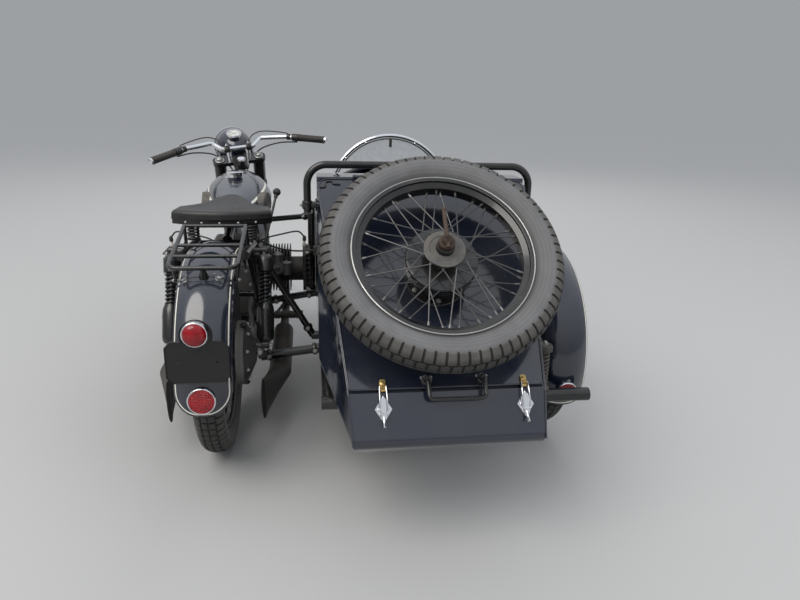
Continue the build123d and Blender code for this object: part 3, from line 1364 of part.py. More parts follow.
# Windscreen: a low arched pane on the cowl in a chromed rim
screen_radius = (screen_half_width**2 + (SCREEN_TOP_Z - SCREEN_FOOT_Z) ** 2) / (
    2 * (SCREEN_TOP_Z - SCREEN_FOOT_Z)
)
screen_centre_z = SCREEN_TOP_Z - screen_radius
screen_y = COWL_Y + 30
with BuildPart() as windscreen_rim:
    with BuildLine() as arch:
        ThreePointArc(
            (body_x - screen_half_width, screen_y, SCREEN_FOOT_Z),
            (body_x, screen_y, SCREEN_TOP_Z),
            (body_x + screen_half_width, screen_y, SCREEN_FOOT_Z),
        )
    with BuildSketch(Plane(origin=arch.line @ 0, z_dir=arch.line % 0)):
        Circle(SCREEN_RIM / 2)
    sweep(path=arch.line)
    add(nose_outer, mode=Mode.SUBTRACT)
pieces["windscreen_rim"] = windscreen_rim.part
with BuildPart() as windscreen:
    with BuildSketch(Plane.XZ.offset(-screen_y - SCREEN_THICKNESS / 2)):
        with Locations((body_x, screen_centre_z)):
            Circle(screen_radius - SCREEN_RIM / 2 - SEAT_GAP)
        with Locations((body_x, SCREEN_FOOT_Z - 200)):
            Rectangle(4 * screen_half_width, 400, mode=Mode.SUBTRACT)
    extrude(amount=SCREEN_THICKNESS)
    add(nose_outer, mode=Mode.SUBTRACT)
pieces["windscreen"] = windscreen.part

# Sidecar frame: a bent tube loop under the body, cross tubes, and the swinging arm of the wheel
fender_side_x = sidecar_track - SIDECAR_FENDER_HALF_WIDTH - SEAT_GAP
with BuildPart() as sidecar_frame:
    add(
        tube(
            [
                (chassis_left_x, CHASSIS_REAR_Y, rail_z),
                (chassis_left_x, CHASSIS_FRONT_Y, rail_z),
                (chassis_right_x, CHASSIS_FRONT_Y, rail_z),
                (chassis_right_x, CHASSIS_REAR_Y, rail_z),
            ],
            130,
            SIDECAR_TUBE,
        )
    )
    for stay_y in (-200, 380):
        stay_z = rail_z + 150
        add(rod((chassis_right_x, stay_y, rail_z), (fender_side_x - 22, stay_y, stay_z), 8))
        add(rod((fender_side_x - 34, stay_y, stay_z), (fender_side_x, stay_y, stay_z), 9))
    add(
        rod(
            (chassis_left_x - 24, CHASSIS_REAR_Y, rail_z - 1.5),
            (chassis_tip_x, CHASSIS_REAR_Y, rail_z - 6),
            SIDECAR_TUBE / 2 + 1,
        )
    )
    add(rod((chassis_left_x + 5, 165, rail_z), (chassis_right_x, 165, rail_z), SIDECAR_TUBE / 2 - 3))
    add(rod((chassis_right_x, ARM_PIVOT_Y, rail_z), (chassis_right_x + 28, ARM_PIVOT_Y, rail_z), 23))
    add(
        tube(
            [
                (chassis_left_x, CHASSIS_FRONT_Y - 60, rail_z),
                (post_x, CHASSIS_FRONT_Y - 60, rail_z),
                (post_x, CHASSIS_FRONT_Y - 60, POST_TOP_Z),
            ],
            22,
            34,
        )
    )
    add(rod((chassis_left_x, 300, rail_z), (strut_foot_x - 6, 300, rail_z), 17))
    for start, end, frame_lug, sidecar_lug, radius in strut_rows:
        along = (Vector(*end) - Vector(*start)).normalized()
        add(rod(Vector(*end) - along * sidecar_lug, end, radius + 2))
pieces["sidecar_frame"] = sidecar_frame.part

# Wheel arm: it swings on the right tube of the sidecar's frame and carries the wheel's axle
with BuildPart() as sidecar_arm:
    add(
        rod(
            (chassis_right_x + 28 + SEAT_GAP, ARM_PIVOT_Y, rail_z),
            (arm_side_x + 22, ARM_PIVOT_Y, rail_z),
            26,
        )
    )
    add(rod((arm_side_x, ARM_PIVOT_Y, rail_z), (arm_side_x, SIDECAR_WHEEL_LEAD, TYRE_RADIUS), 17))
    add(
        rod(
            (arm_side_x - 21, SIDECAR_WHEEL_LEAD, TYRE_RADIUS),
            (sidecar_track - HUB_HALF_LENGTH - 1, SIDECAR_WHEEL_LEAD, TYRE_RADIUS),
            24,
        )
    )
    add(
        rod(
            (arm_side_x - 30, SIDECAR_WHEEL_LEAD, TYRE_RADIUS),
            (sidecar_track + HUB_HALF_LENGTH + 14, SIDECAR_WHEEL_LEAD, TYRE_RADIUS),
            AXLE_RADIUS,
        )
    )
pieces["sidecar_arm"] = sidecar_arm.part

# Rear body springs: a coil spring on the right under a bracket, and a rubber block on the left
with BuildPart() as sidecar_springs:
    add(rod((spring_x, CHASSIS_REAR_Y, rail_z + SIDECAR_TUBE / 2 - 1), (spring_x, CHASSIS_REAR_Y, 310), 26))
    add(rod((spring_x, CHASSIS_REAR_Y, 310), (spring_x, CHASSIS_REAR_Y, 440), 20))
    add(rod((spring_x, CHASSIS_REAR_Y, 440), (spring_x, CHASSIS_REAR_Y, 462), 26))
    side_x = body_x + half_width_at(CHASSIS_REAR_Y + 22)
    add(block((side_x + SEAT_GAP, CHASSIS_REAR_Y - 22, 448), (spring_x + 10, CHASSIS_REAR_Y + 22, 456)))
pieces["sidecar_springs"] = sidecar_springs.part

# Struts: four bolted links that hold the sidecar to the motorcycle
with BuildPart() as sidecar_struts:
    for start, end, frame_lug, sidecar_lug, radius in strut_rows:
        along = (Vector(*end) - Vector(*start)).normalized()
        add(
            rod(
                Vector(*start) + along * (frame_lug + SEAT_GAP),
                Vector(*end) - along * (sidecar_lug + SEAT_GAP),
                radius,
            )
        )
pieces["sidecar_struts"] = sidecar_struts.part

# Wire of the sidecar lamps: it hangs from a clip on the frame to a small block on the body's side
wire_points = [
    (130, 348, 664),
    (160, 357, 644),
    (200, 369, 626),
    (245, 385, 613),
    (BODY_LEFT_X - 55, 398, 608),
    (BODY_LEFT_X - WIRE_CLIP_DEPTH - WIRE_END_GAP, 408, 609),
]


def cord_radii(points):
    """For each corner of a cord's route, 0.45 of its shorter run over the tangent of half its turn."""
    radii = []
    for before, corner, after in zip(points, points[1:], points[2:]):
        run_in = Vector(*corner) - Vector(*before)
        run_out = Vector(*after) - Vector(*corner)
        turn = radians(run_in.get_angle(run_out))
        radii.append(0.45 * min(run_in.length, run_out.length) / tan(turn / 2))
    return radii


pieces["sidecar_wire"] = tube(wire_points, cord_radii(wire_points), WIRE_DIAMETER)
with BuildPart() as wire_clips:
    add(block((SUBFRAME_X + FRAME_TUBE / 2 + SEAT_GAP, 339, 652), (127, 357, 676)))
    add(block((BODY_LEFT_X - WIRE_CLIP_DEPTH, 396, 592), (BODY_LEFT_X - SEAT_GAP, 422, 624)))
pieces["wire_clips"] = wire_clips.part

# The origin is the middle of the whole outfit's footprint, on the ground
boxes = [piece.bounding_box() for piece in pieces.values()]
to_origin = Location(
    (
        -(min(box.min.X for box in boxes) + max(box.max.X for box in boxes)) / 2,
        -(min(box.min.Y for box in boxes) + max(box.max.Y for box in boxes)) / 2,
        -min(box.min.Z for box in boxes),
    )
)
print("shift", [round(value, 4) for value in to_origin.position])

os.makedirs("parts", exist_ok=True)
for name, piece in pieces.items():
    shape = to_origin * piece
    shape.label = name
    export_step(shape, f"parts/{name}.step")
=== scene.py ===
import math

import bmesh
import bpy
import numpy as np
from mathutils import Matrix, Vector
from mathutils.bvhtree import BVHTree


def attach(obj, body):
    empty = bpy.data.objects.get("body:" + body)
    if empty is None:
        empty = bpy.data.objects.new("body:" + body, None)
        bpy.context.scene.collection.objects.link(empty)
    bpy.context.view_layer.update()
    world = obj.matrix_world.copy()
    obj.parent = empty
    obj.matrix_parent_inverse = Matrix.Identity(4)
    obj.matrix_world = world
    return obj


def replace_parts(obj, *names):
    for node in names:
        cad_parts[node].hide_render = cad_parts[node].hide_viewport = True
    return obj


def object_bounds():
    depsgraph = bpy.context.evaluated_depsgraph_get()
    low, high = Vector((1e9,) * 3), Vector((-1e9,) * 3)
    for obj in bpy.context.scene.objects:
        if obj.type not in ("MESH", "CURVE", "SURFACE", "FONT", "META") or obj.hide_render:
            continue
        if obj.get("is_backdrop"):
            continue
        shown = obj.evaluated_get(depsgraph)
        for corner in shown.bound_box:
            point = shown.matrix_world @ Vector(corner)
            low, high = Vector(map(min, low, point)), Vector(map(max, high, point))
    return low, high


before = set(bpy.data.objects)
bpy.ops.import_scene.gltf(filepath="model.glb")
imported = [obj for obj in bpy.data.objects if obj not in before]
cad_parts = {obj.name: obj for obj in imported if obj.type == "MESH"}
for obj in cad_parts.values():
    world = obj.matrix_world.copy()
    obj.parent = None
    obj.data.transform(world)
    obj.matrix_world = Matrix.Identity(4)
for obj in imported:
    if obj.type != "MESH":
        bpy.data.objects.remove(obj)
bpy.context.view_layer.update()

# Tyres: four moulded rubber tyres of one size, each a smooth side wall with raised rings, a row of
# lugs on either shoulder and two rows of centre blocks, on well-base rims. Places are worked out in
# millimetres from the ground under the rear axle, and ORIGIN moves them to the middle of the outfit.
ORIGIN = np.array((-428.3799, -526.6649, 0.0))
X, Y, Z = np.eye(3)
EITHER = np.array([[-1], [1]])  # turns one direction into a row of it and its opposite


def unit(v):
    """Vectors divided by their length."""
    v = np.asarray(v, float)
    return v / np.maximum(np.linalg.norm(v, axis=-1, keepdims=True), 1e-9)


def points(*columns):
    """Points from their columns, each a number or a row of numbers."""
    return np.stack(np.broadcast_arrays(*columns), -1).astype(float)


def skin(rows, loop=False):
    """Quads between neighbouring points of rows[solid, along, across]; open ends get one face each."""
    rows = np.asarray(rows, float)
    rows = rows if rows.ndim == 4 else rows[None]
    count, n, m = rows.shape[:3]
    i = np.arange(n if loop else n - 1)[:, None]
    k = np.arange(m)[None, :]
    j, p = (i + 1) % n, (k + 1) % m
    quads = np.stack([i * m + k, i * m + p, j * m + p, j * m + k], -1).reshape(-1, 4)
    start = (np.arange(count) * n * m)[:, None, None]
    faces = (start + quads[None]).reshape(-1, 4).tolist()
    if not loop:
        first = np.arange(m)[::-1]
        last = (n - 1) * m + np.arange(m)
        faces += (start[:, 0] + first).tolist() + (start[:, 0] + last).tolist()
    return rows.reshape(-1, 3), faces


def shade(mesh, sharp):
    """Smooth shading, but for edges that turn by more than this many degrees."""
    mesh.polygons.foreach_set("use_smooth", [True] * len(mesh.polygons))
    mesh.set_sharp_from_angle(angle=math.radians(sharp))


def in_scene(name, data):
    """A new object in the scene, at its origin."""
    made = bpy.data.objects.new(name, data)
    bpy.context.scene.collection.objects.link(made)
    return made


def piece(name, body, finishes, sharp=35, place=(np.eye(3), 0)):
    """One object from {material: [solids]}: points in millimetres, turned and shifted by place and
    moved by ORIGIN, with its faces outwards."""
    spots, faces, slots = [], [], []
    base = 0
    for slot, solids in enumerate(finishes.values()):
        for solid_spots, quads in solids:
            spots.append(solid_spots)
            faces += [[base + c for c in quad] for quad in quads]
            slots += [slot] * len(quads)
            base += len(solid_spots)
    spots = np.vstack(spots) @ place[0].T + place[1]
    mesh = bpy.data.meshes.new(name)
    mesh.from_pydata(((spots + ORIGIN) / 1000).tolist(), [], faces)
    mesh.polygons.foreach_set("material_index", slots)
    for material in finishes:
        mesh.materials.append(material)
    work = bmesh.new()
    work.from_mesh(mesh)
    bmesh.ops.recalc_face_normals(work, faces=work.faces)
    work.to_mesh(mesh)
    work.free()
    shade(mesh, sharp)
    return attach(in_scene(name, mesh), body)


class Nodes:
    """Adds shader nodes to a tree: each call makes one node, fills its sockets and gives an output."""

    def __init__(self, tree):
        self.tree = tree

    def fill(self, node, sockets):
        for key, value in sockets.items():
            if isinstance(value, bpy.types.NodeSocket):
                self.tree.links.new(value, node.inputs[key])
            else:
                node.inputs[key].default_value = value

    def add(self, kind, sockets, out=0, **settings):
        node = self.tree.nodes.new("ShaderNode" + kind)
        for key, value in settings.items():
            setattr(node, key, value)
        self.fill(node, sockets)
        return node.outputs[out]

    def group(self, tree, sockets):
        node = self.tree.nodes.new("ShaderNodeGroup")
        node.node_tree = tree
        self.fill(node, sockets)
        return node.outputs

    def place(self):
        return self.add("TexCoord", {}, out=3)

    def noise(self, place, scale, detail, **sockets):
        return self.add("TexNoise", {"Vector": place, "Scale": scale, "Detail": detail, **sockets})

    def plus(self, a, b):
        return self.add("Math", {0: a, 1: b}, operation="ADD")

    def times(self, a, b):
        return self.add("Math", {0: a, 1: b}, operation="MULTIPLY")

    def mix(self, factor, a, b):
        return self.add("Mix", {0: factor, 6: a, 7: b}, out=2, data_type="RGBA")

    def ramp(self, value, low, high, to_low=0.0, to_high=1.0):
        sockets = {0: value, 1: low, 2: high, 3: to_low, 4: to_high}
        return self.add("MapRange", sockets, clamp=True)

    def bump(self, height, strength, distance):
        return self.add("Bump", {"Height": height, "Strength": strength, "Distance": distance})


def node_group(name, given, result):
    """A new group with these sockets: its Nodes, what it is given and the node for its result."""
    tree = bpy.data.node_groups.new(name, "ShaderNodeTree")
    for way, sockets in (("INPUT", given), ("OUTPUT", result)):
        for socket, kind in sockets.items():
            tree.interface.new_socket(socket, in_out=way, socket_type="NodeSocket" + kind)
    return Nodes(tree), tree.nodes.new("NodeGroupInput").outputs, tree.nodes.new("NodeGroupOutput")


def weathering_group():
    """Road dust shared by every finish: more on faces that look up and in slow patches, with specks."""
    nodes, given, result = node_group(
        "weathering", {"Colour": "Color", "Dust": "Float", "Roughness": "Float", "Scale": "Float"},
        {"Colour": "Color", "Roughness": "Float", "Dust": "Float"},
    )
    place = nodes.place()
    patch = nodes.noise(place, given["Scale"], 6.0, Roughness=0.62)
    speck = nodes.noise(place, 260.0, 3.0)
    up = nodes.add("SeparateXYZ", {0: nodes.add("NewGeometry", {}, out=1)}, out=2)
    amount = nodes.times(nodes.ramp(up, -0.2, 0.9, 0.25, 1.0), nodes.ramp(patch, 0.33, 0.72))
    amount = nodes.times(amount, nodes.ramp(speck, 0.42, 0.75, 0.7, 1.2))
    amount = nodes.times(amount, given["Dust"])
    rough = nodes.plus(given["Roughness"], nodes.times(amount, 0.55))
    nodes.fill(result, {
        "Colour": nodes.mix(amount, given["Colour"], (0.22, 0.195, 0.16, 1)),
        "Roughness": nodes.plus(rough, nodes.ramp(patch, 0.3, 0.8, 0.0, 0.07)), "Dust": amount,
    })
    return nodes.tree


weathering = weathering_group()


def inside(made):
    """The Nodes of a material's tree, and its Principled shader."""
    made.use_nodes = True
    return Nodes(made.node_tree), made.node_tree.nodes["Principled BSDF"]


def finish(name, colour, rough, metal=0.0, dust=0.1, scale=7.0, grain=0.0, size=900.0, coat=0.0):
    """A material: its colour and roughness through the weathering group, with a fine surface grain."""
    made = bpy.data.materials.new(name)
    nodes, shader = inside(made)
    worn = nodes.group(
        weathering, {"Colour": (*colour, 1), "Dust": dust, "Roughness": rough, "Scale": scale})
    nodes.fill(shader, {
        "Base Color": worn["Colour"], "Roughness": worn["Roughness"], "Metallic": metal,
        "Coat Weight": coat, "Coat Roughness": 0.05,
    })
    if grain:
        nodes.fill(shader, {"Normal": nodes.bump(nodes.noise(nodes.place(), size, 4.0), grain, 0.001)})
    return made


LUGS = 70
LUG_DEPTH = 6.0
TREAD_CIRCLE = 59.15  # the radius of the curve across the tread
AXLE_Z = 340  # the tyre's radius, and so the height of every axle


def tyre_surface():
    """The tyre about its own axle, x across: radius(x) is the tread circle, then the side wall circle,
    less a depth that is LUG_DEPTH wherever a groove of the lug or block pattern runs."""
    a, b, c = np.array(((37.0, 327.0), (49.0, 288.0), (28.0, 256.0)))
    mid = np.linalg.solve(2 * np.array([b - a, c - a]), [b @ b - a @ a, c @ c - a @ a])
    first, last = np.arctan2(*(c - mid)[::-1]), np.arctan2(*(a - mid)[::-1])
    turn = np.sort(np.concatenate([np.linspace(first, last, 15)[:12], last - np.radians([22, 20, 12])]))
    wall = mid + np.linalg.norm(a - mid) * points(np.cos(turn), np.sin(turn))
    x = np.array([37, 31, 25.4, 24.4, 20.6, 19.6, 11, 2.8, 1.8])
    tread = points(x, AXLE_Z - TREAD_CIRCLE + np.sqrt(TREAD_CIRCLE**2 - x**2))
    half = np.vstack([[(27, 243), (28, 250)], wall, tread])
    across, high = half[:, :1], half[:, 1:]
    wall_rings = 0.9 * np.exp(-(((high - 302) / 2.2) ** 2)) + 0.7 * np.exp(-(((high - 266) / 1.6) ** 2))
    steps = np.array([0.02, 0.11, 0.20, 0.24, 0.48, 0.52, 0.61, 0.70, 0.74, 0.98])
    lug_gap = LUG_DEPTH * (steps < 0.22)
    block_gap = LUG_DEPTH * ((steps > 0.5) & (steps < 0.72))
    tread_band = high > 300
    depth = np.select(
        # shoulder lugs, the groove beside them, centre blocks, the middle groove
        [(high > 309) & (across > 25), tread_band & (across <= 24.4) & (across >= 20.6),
         tread_band & (across < 20.6) & (across > 2.5), tread_band & (across < 2.5)],
        [lug_gap, 5.0, block_gap, 4.0],
        np.where((high > 256) & (high < 309), 1.3 - wall_rings, 0.0),
    )
    core = np.array((0, 292))  # the middle of the section, towards which grooves go in
    section = half[:, None] - unit(half - core)[:, None] * depth[:, :, None]
    section = np.concatenate([section, (section * (-1, 1))[::-1]])
    depth = np.concatenate([depth, depth[::-1]])
    turn = 2 * np.pi * ((np.arange(LUGS)[:, None] + steps) / LUGS).reshape(-1)
    across, radius = (np.tile(section[:, :, k], LUGS) for k in (0, 1))
    rows = points(across, radius * np.cos(turn), radius * np.sin(turn))
    return skin(rows.transpose(1, 0, 2), loop=True), radius.T.reshape(-1), np.tile(depth, LUGS).T.reshape(-1)


def tyre_finish():
    """Rubber that carries dust on its side walls, in rings and patches, and on the tread's shoulders, with
    painted shade darkening its grooves.
    """
    made = bpy.data.materials.new("tyre_rubber")
    nodes, shader = inside(made)
    place = nodes.place()
    radius = nodes.add("Attribute", {}, out=2, attribute_name="radius")
    groove = nodes.add("Attribute", {}, out=2, attribute_name="hollow")
    patch = nodes.noise(place, 13.0, 6.0, Roughness=0.65)
    fine = nodes.noise(place, 300.0, 4.0)
    wall = nodes.times(nodes.ramp(radius, 0.25, 0.265), nodes.ramp(radius, 0.316, 0.305))
    line = nodes.add("CombineXYZ", {0: radius})
    rings = nodes.add("TexWave", {"Vector": line, "Scale": 30.0, "Distortion": 0.6, "Detail": 1.0})
    veil = nodes.times(wall, nodes.ramp(patch, 0.25, 0.7, 0.5, 1.0))
    veil = nodes.times(veil, nodes.ramp(rings, 0.0, 1.0, 0.8, 1.0))
    colour = nodes.mix(veil, (0.036, 0.035, 0.034, 1), (0.145, 0.145, 0.148, 1))
    shoulder = nodes.ramp(radius, 0.305, 0.318, 0.0, 0.75)
    tread = nodes.mix(nodes.ramp(patch, 0.3, 0.75), (0.045, 0.043, 0.04, 1), (0.12, 0.112, 0.1, 1))
    colour = nodes.mix(nodes.times(shoulder, nodes.ramp(radius, 0.337, 0.325)), colour, tread)
    colour = nodes.mix(nodes.ramp(radius, 0.328, 0.337, 0.0, 0.8), colour, (0.03, 0.029, 0.028, 1))
    # Painted shade: the deeper a groove, the darker its rubber is painted.
    colour = nodes.mix(nodes.ramp(groove, 1.5, 4.5, 0.0, 0.75), colour, (0.016, 0.015, 0.014, 1))
    nodes.fill(shader, {
        "Base Color": nodes.mix(nodes.ramp(fine, 0.5, 0.8, 0.0, 0.25), colour, (0.17, 0.155, 0.13, 1)),
        "Roughness": nodes.ramp(patch, 0.3, 0.8, 0.6, 0.88), "Normal": nodes.bump(fine, 0.35, 0.0012),
    })
    return made


# The steering line leans back by the rake and meets the middle of the straight-ahead front wheel from
# OFFSET behind it. STEERED is the turn and shift from straight ahead to how the bar is parked.
RAKE = math.radians(27)
OFFSET = 65
STEER_AXES = np.array([X, (0, math.cos(RAKE), math.sin(RAKE)), (0, -math.sin(RAKE), math.cos(RAKE))])
STEER_AXIS = STEER_AXES[2]
STEER_POINT = (0, 1450, AXLE_Z) - OFFSET * STEER_AXES[1]
STEER_TURN = np.array(Matrix.Rotation(math.radians(14.75), 3, Vector(STEER_AXIS)))
STEERED = (STEER_TURN, STEER_POINT - STEER_TURN @ STEER_POINT)
# The sidecar's middle, the middle of its lid's top edge, and across, down along and out from the lid.
MIDDLE = 680
LID_TOP = np.array((0, -110, 960))
LID_DOWN = unit((0, -510, -485))
LID_OUT = np.array((0, LID_DOWN[2], -LID_DOWN[1]))
LID_AXES = np.array([X, LID_DOWN, LID_OUT])
REAR_AXLE = np.array((0.0, 0, AXLE_Z))
SIDECAR_AXLE = np.array((1175.0, 110, AXLE_Z))


def laid(origin, axes):
    """A function that lays out points: rows of three distances along these axes from an origin."""
    return lambda *rows: np.squeeze(origin + np.array(rows, float) @ axes)


def wheel_place(centre, side, up):
    """The turn and the shift that put a wheel, built about its own x axis, on its axle."""
    side, up = unit(side), unit(up)
    return np.stack([side, np.cross(up, side), up], 1), np.asarray(centre, float)


on_lid = laid(LID_TOP, LID_AXES)  # x, distance down the lid from its top edge, height above it
WHEELS = {
    "rear": ("rear_wheel", wheel_place(REAR_AXLE, -X, Z)),
    "front": ("front_wheel", wheel_place((-16.549, 1448.091, 339.028), -STEER_TURN[:, 0], STEER_AXIS)),
    "sidecar": ("sidecar_wheel", wheel_place(SIDECAR_AXLE, -X, Z)),
    "spare": ("trunk_lid", wheel_place(on_lid((MIDDLE, 371, 125)), -LID_OUT, X)),
}
tyre_rubber = tyre_finish()
tyre_shape, tyre_radii, tyre_depths = tyre_surface()
for wheel, (body, place) in WHEELS.items():
    tyre = piece(wheel + "_tyre_tread", body, {tyre_rubber: [tyre_shape]}, sharp=28, place=place)
    for name, values in (("radius", tyre_radii / 1000), ("hollow", tyre_depths)):
        tyre.data.attributes.new(name, "FLOAT", "POINT").data.foreach_set("value", values)
    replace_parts(tyre, wheel + "_tyre")


# Wheels: rolled steel rims with a bright edge, an iron hub with a brake drum on one side, and forty
# spokes laced in crossing pairs and pulled up by nipples in the rim. Black enamel, dusty.
def ring(count, u, v, start=0.0):
    """Evenly spaced points u cos t + v sin t, the first of them at start degrees."""
    turn = np.radians(start) + 2 * np.pi * np.arange(count)[:, None] / count
    return np.cos(turn) * u + np.sin(turn) * v


def round_about(axis, sides, start=0.0):
    """A circle of radius 1 square to each axis."""
    side = unit(np.cross(axis, np.where(np.abs(axis[:, 2:]) < 0.9, Z, X)))
    return ring(sides, side[:, None], np.cross(axis, side)[:, None], start)


def lathe(profile, base, axis, sides=32, loop=False):
    """Profiles of (distance along the axis, radius) turned about an axis, one solid for each base."""
    profile = np.asarray(profile, float)
    base, axis = np.atleast_2d(np.asarray(base, float)), unit(np.atleast_2d(axis))
    along = base[:, None, None] + (axis[:, None] * profile[:, :1])[:, :, None]
    spoke = round_about(axis, sides, 180 / sides)[:, None]
    return skin(along + spoke * profile[None, :, 1:, None], loop=loop)


def hollow(profile, base, axis, sides=24):
    """The same with a hole: the profile closes on itself."""
    return lathe(profile, base, axis, sides, loop=True)


def rods(starts, ends, radius, end_radius=None, sides=10):
    """Straight round bars, one for each pair of ends, P = A + t (B - A) + r (cos a, sin a)."""
    starts, ends = (np.atleast_2d(spots).astype(float) for spots in np.broadcast_arrays(starts, ends))
    spoke = round_about(unit(ends - starts), sides)
    end_radius = end_radius or radius
    return skin(np.stack([starts[:, None] + spoke * radius, ends[:, None] + spoke * end_radius], 1))


def bolts(bases, axis, radius, height):
    """Hexagon nuts, each on a round washer and with the rounded end of its stud."""
    washer = [(0, 0.6), (0, radius * 1.45), (1.4, radius * 1.45), (1.6, radius * 1.35), (1.6, 0.6)]
    nut = [(1.6, radius * 0.9), (2.2, radius), (height - 0.8, radius), (height, radius * 0.86)]
    stud = [(height - 1, radius * 0.5), (height + 2, radius * 0.5), (height + 3, radius * 0.3)]
    return [lathe(washer, bases, axis, 16), lathe(nut, bases, axis, 6), lathe(stud, bases, axis, 10)]


def both(solids, middle=0):
    """Solids and their mirror images in the plane x = middle."""
    return solids + [(spots * (-1, 1, 1) + (2 * middle, 0, 0), quads) for spots, quads in solids]


black = finish(
    "black_enamel", (0.0052, 0.0056, 0.0064), 0.2, dust=0.13, scale=9.0, grain=0.05, size=320.0, coat=0.25)
spoke_steel = finish("spoke_steel", (0.075, 0.075, 0.078), 0.32, metal=0.7, dust=0.3, scale=16.0, grain=0.1)
nickel = finish("dull_nickel", (0.16, 0.16, 0.162), 0.36, metal=0.85, dust=0.4, scale=22.0, grain=0.1)
zinc = finish("zinc_plate", (0.42, 0.42, 0.41), 0.34, metal=0.9, dust=0.35, scale=22.0, grain=0.1)
dusty = finish("dusty_black", (0.03, 0.029, 0.028), 0.5, dust=0.85, scale=11.0, grain=0.3, size=500.0)
rim_profile = [
    (-30, 250.5), (-28.6, 247), (-27.5, 243.2), (-21, 242.8), (-15.5, 231), (-13, 228), (13, 228),
    (15.5, 231), (21, 242.8), (27.5, 243.2), (28.6, 247), (30, 250.5), (32.4, 250.8), (32.6, 245),
    (30.5, 239.6), (24, 238.8), (15, 224.8), (12, 224), (-12, 224), (-15, 224.8), (-24, 238.8),
    (-30.5, 239.6), (-32.6, 245), (-32.4, 250.8),
]
rim_edge = (31, 251.3) + ring(8, (2.3, 0), (0, 2.3))
hub_profile = [
    (-60, 10.6), (-60, 22), (-57, 24.5), (-41, 26), (-38.5, 31), (-38, 55), (-36.5, 57.5), (-32, 57.5),
    (-30.6, 55), (-30, 34), (-24, 29), (0, 28), (6, 34), (8.2, 92), (10, 100), (13, 102.6), (17, 102.6),
    (18, 99.5), (22, 99.5), (23, 102.6), (27, 102.6), (28, 99.5), (32, 99.5), (33, 102.6), (46, 102.6),
    (48, 101), (49, 94), (49.6, 60), (50, 30), (56, 26), (60, 23), (60, 10.6),
]
feet, heads = [], []
for hub_x, hub_r, rim_x, lean, first in (
    (-34, 52, -5, 38, 0), (-34, 52, -5, -38, 18), (13, 99, 5, 22, 9), (13, 99, 5, -22, 27),
):
    feet.append((hub_x, 0, 0) + ring(10, hub_r * Y, hub_r * Z, first))
    heads.append((rim_x, 0, 0) + ring(10, 225 * Y, 225 * Z, first + lean))
feet, heads = np.vstack(feet), np.vstack(heads)
pull = unit(heads - feet)
centre = np.zeros(3)
drum_bolts = (49.2, 0, 0) + ring(6, 44 * Y, 44 * Z, 30)
wheel_parts = {
    black: [hollow(rim_profile, centre, X, 96), hollow(hub_profile, centre, X, 48)],
    zinc: both([hollow(rim_edge, centre, X, 96)]) + bolts(drum_bolts, X, 4.6, 5),
    nickel: [rods(heads - pull * 15, heads - pull, 3.1, 3.6, 6)],
    spoke_steel: [rods(feet - pull * 3, heads - pull * 12, 1.9, sides=6),
                  rods(feet - pull * 4, feet - pull, 3.4, sides=8)],
}
for wheel, (body, place) in WHEELS.items():
    laced = piece(wheel + "_wheel_laced", body, wheel_parts, sharp=32, place=place)
    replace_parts(laced, wheel + "_wheel")


# Frame and swinging arm: bent steel tubes, brazed and bolted, in black enamel. The tubes themselves
# stay as they are; nuts are set where the tubes, the engine and the sidecar's struts are bolted.
def dress(material, *nodes):
    """Gives CAD nodes their material, shaded smooth across their shallow facets."""
    for node in nodes:
        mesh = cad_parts[node].data
        mesh.materials.clear()
        mesh.materials.append(material)
        shade(mesh, 30)


dress(black, "frame", "swingarm", "sidecar_arm", "sidecar_frame")
frame_nuts = bolts((126, 388, 335), X, 13, 10) + bolts((172, 5, 365), X, 9, 8)
frame_nuts += bolts([(115, 692, 226.4), (115, 895, 223.6)], -Z, 8, 7)
axle_nuts = bolts([(-127, 0, AXLE_Z), (134.5, 0, AXLE_Z)], [-X, X], 14, 12)
piece("frame_nuts", "root", {zinc: both(frame_nuts) + axle_nuts})


# Final drive: the bevel-gear housing is a dull aluminium casting with a ring of studs round its
# cover, a filler plug on top and a drain plug below; the drive shaft runs forward to the gearbox.
alloy = finish(
    "cast_aluminium", (0.2, 0.198, 0.195), 0.45, metal=0.85, dust=0.55, scale=11.0, grain=0.5, size=420.0)
dress(alloy, "final_drive")
blackened = finish("blackened_steel", (0.03, 0.03, 0.031), 0.35, metal=0.6, dust=0.3, scale=18.0, grain=0.1)
cover = [(0, 60), (0, 111), (1.5, 112.8), (7, 112.8), (8, 111), (8, 60)]
piece(
    "drive_cover_studs", "root",
    {zinc: bolts((101, 0, AXLE_Z) + ring(8, 86 * Y, 86 * Z, 22), X, 6, 8),
     alloy: [hollow(cover, (72, 0, AXLE_Z), X, 64)],
     blackened: bolts((90, -30, 445), (0, -0.26, 1), 11, 12) + bolts((90, -8, 230), -Z, 9, 7)},
)


# Rear shock absorbers: a coil spring between a deep lower cup and an upper cover, in black enamel,
# with an eye at either end that is bolted to the arm and to the frame.
def coil(low, high, radius, turns, wire, sides=8, steps=20):
    """A spring of round wire: the helix P = A + s (B - A) + R (cos 2 pi n s, sin 2 pi n s)."""
    low, high = np.asarray(low, float), np.asarray(high, float)
    line = unit(high - low)
    side = unit(np.cross(line, (0, 1, 0.2)))
    other = np.cross(line, side)
    share = np.linspace(0, 1, int(turns * steps) + 1)[:, None]
    turn = 2 * np.pi * turns * share
    spoke = side * np.cos(turn) + other * np.sin(turn)
    across = np.cross(-side * np.sin(turn) + other * np.cos(turn), spoke)
    middle = low + share * (high - low) + spoke * radius
    return skin(middle[:, None] + ring(sides, spoke[:, None], across[:, None]) * wire)


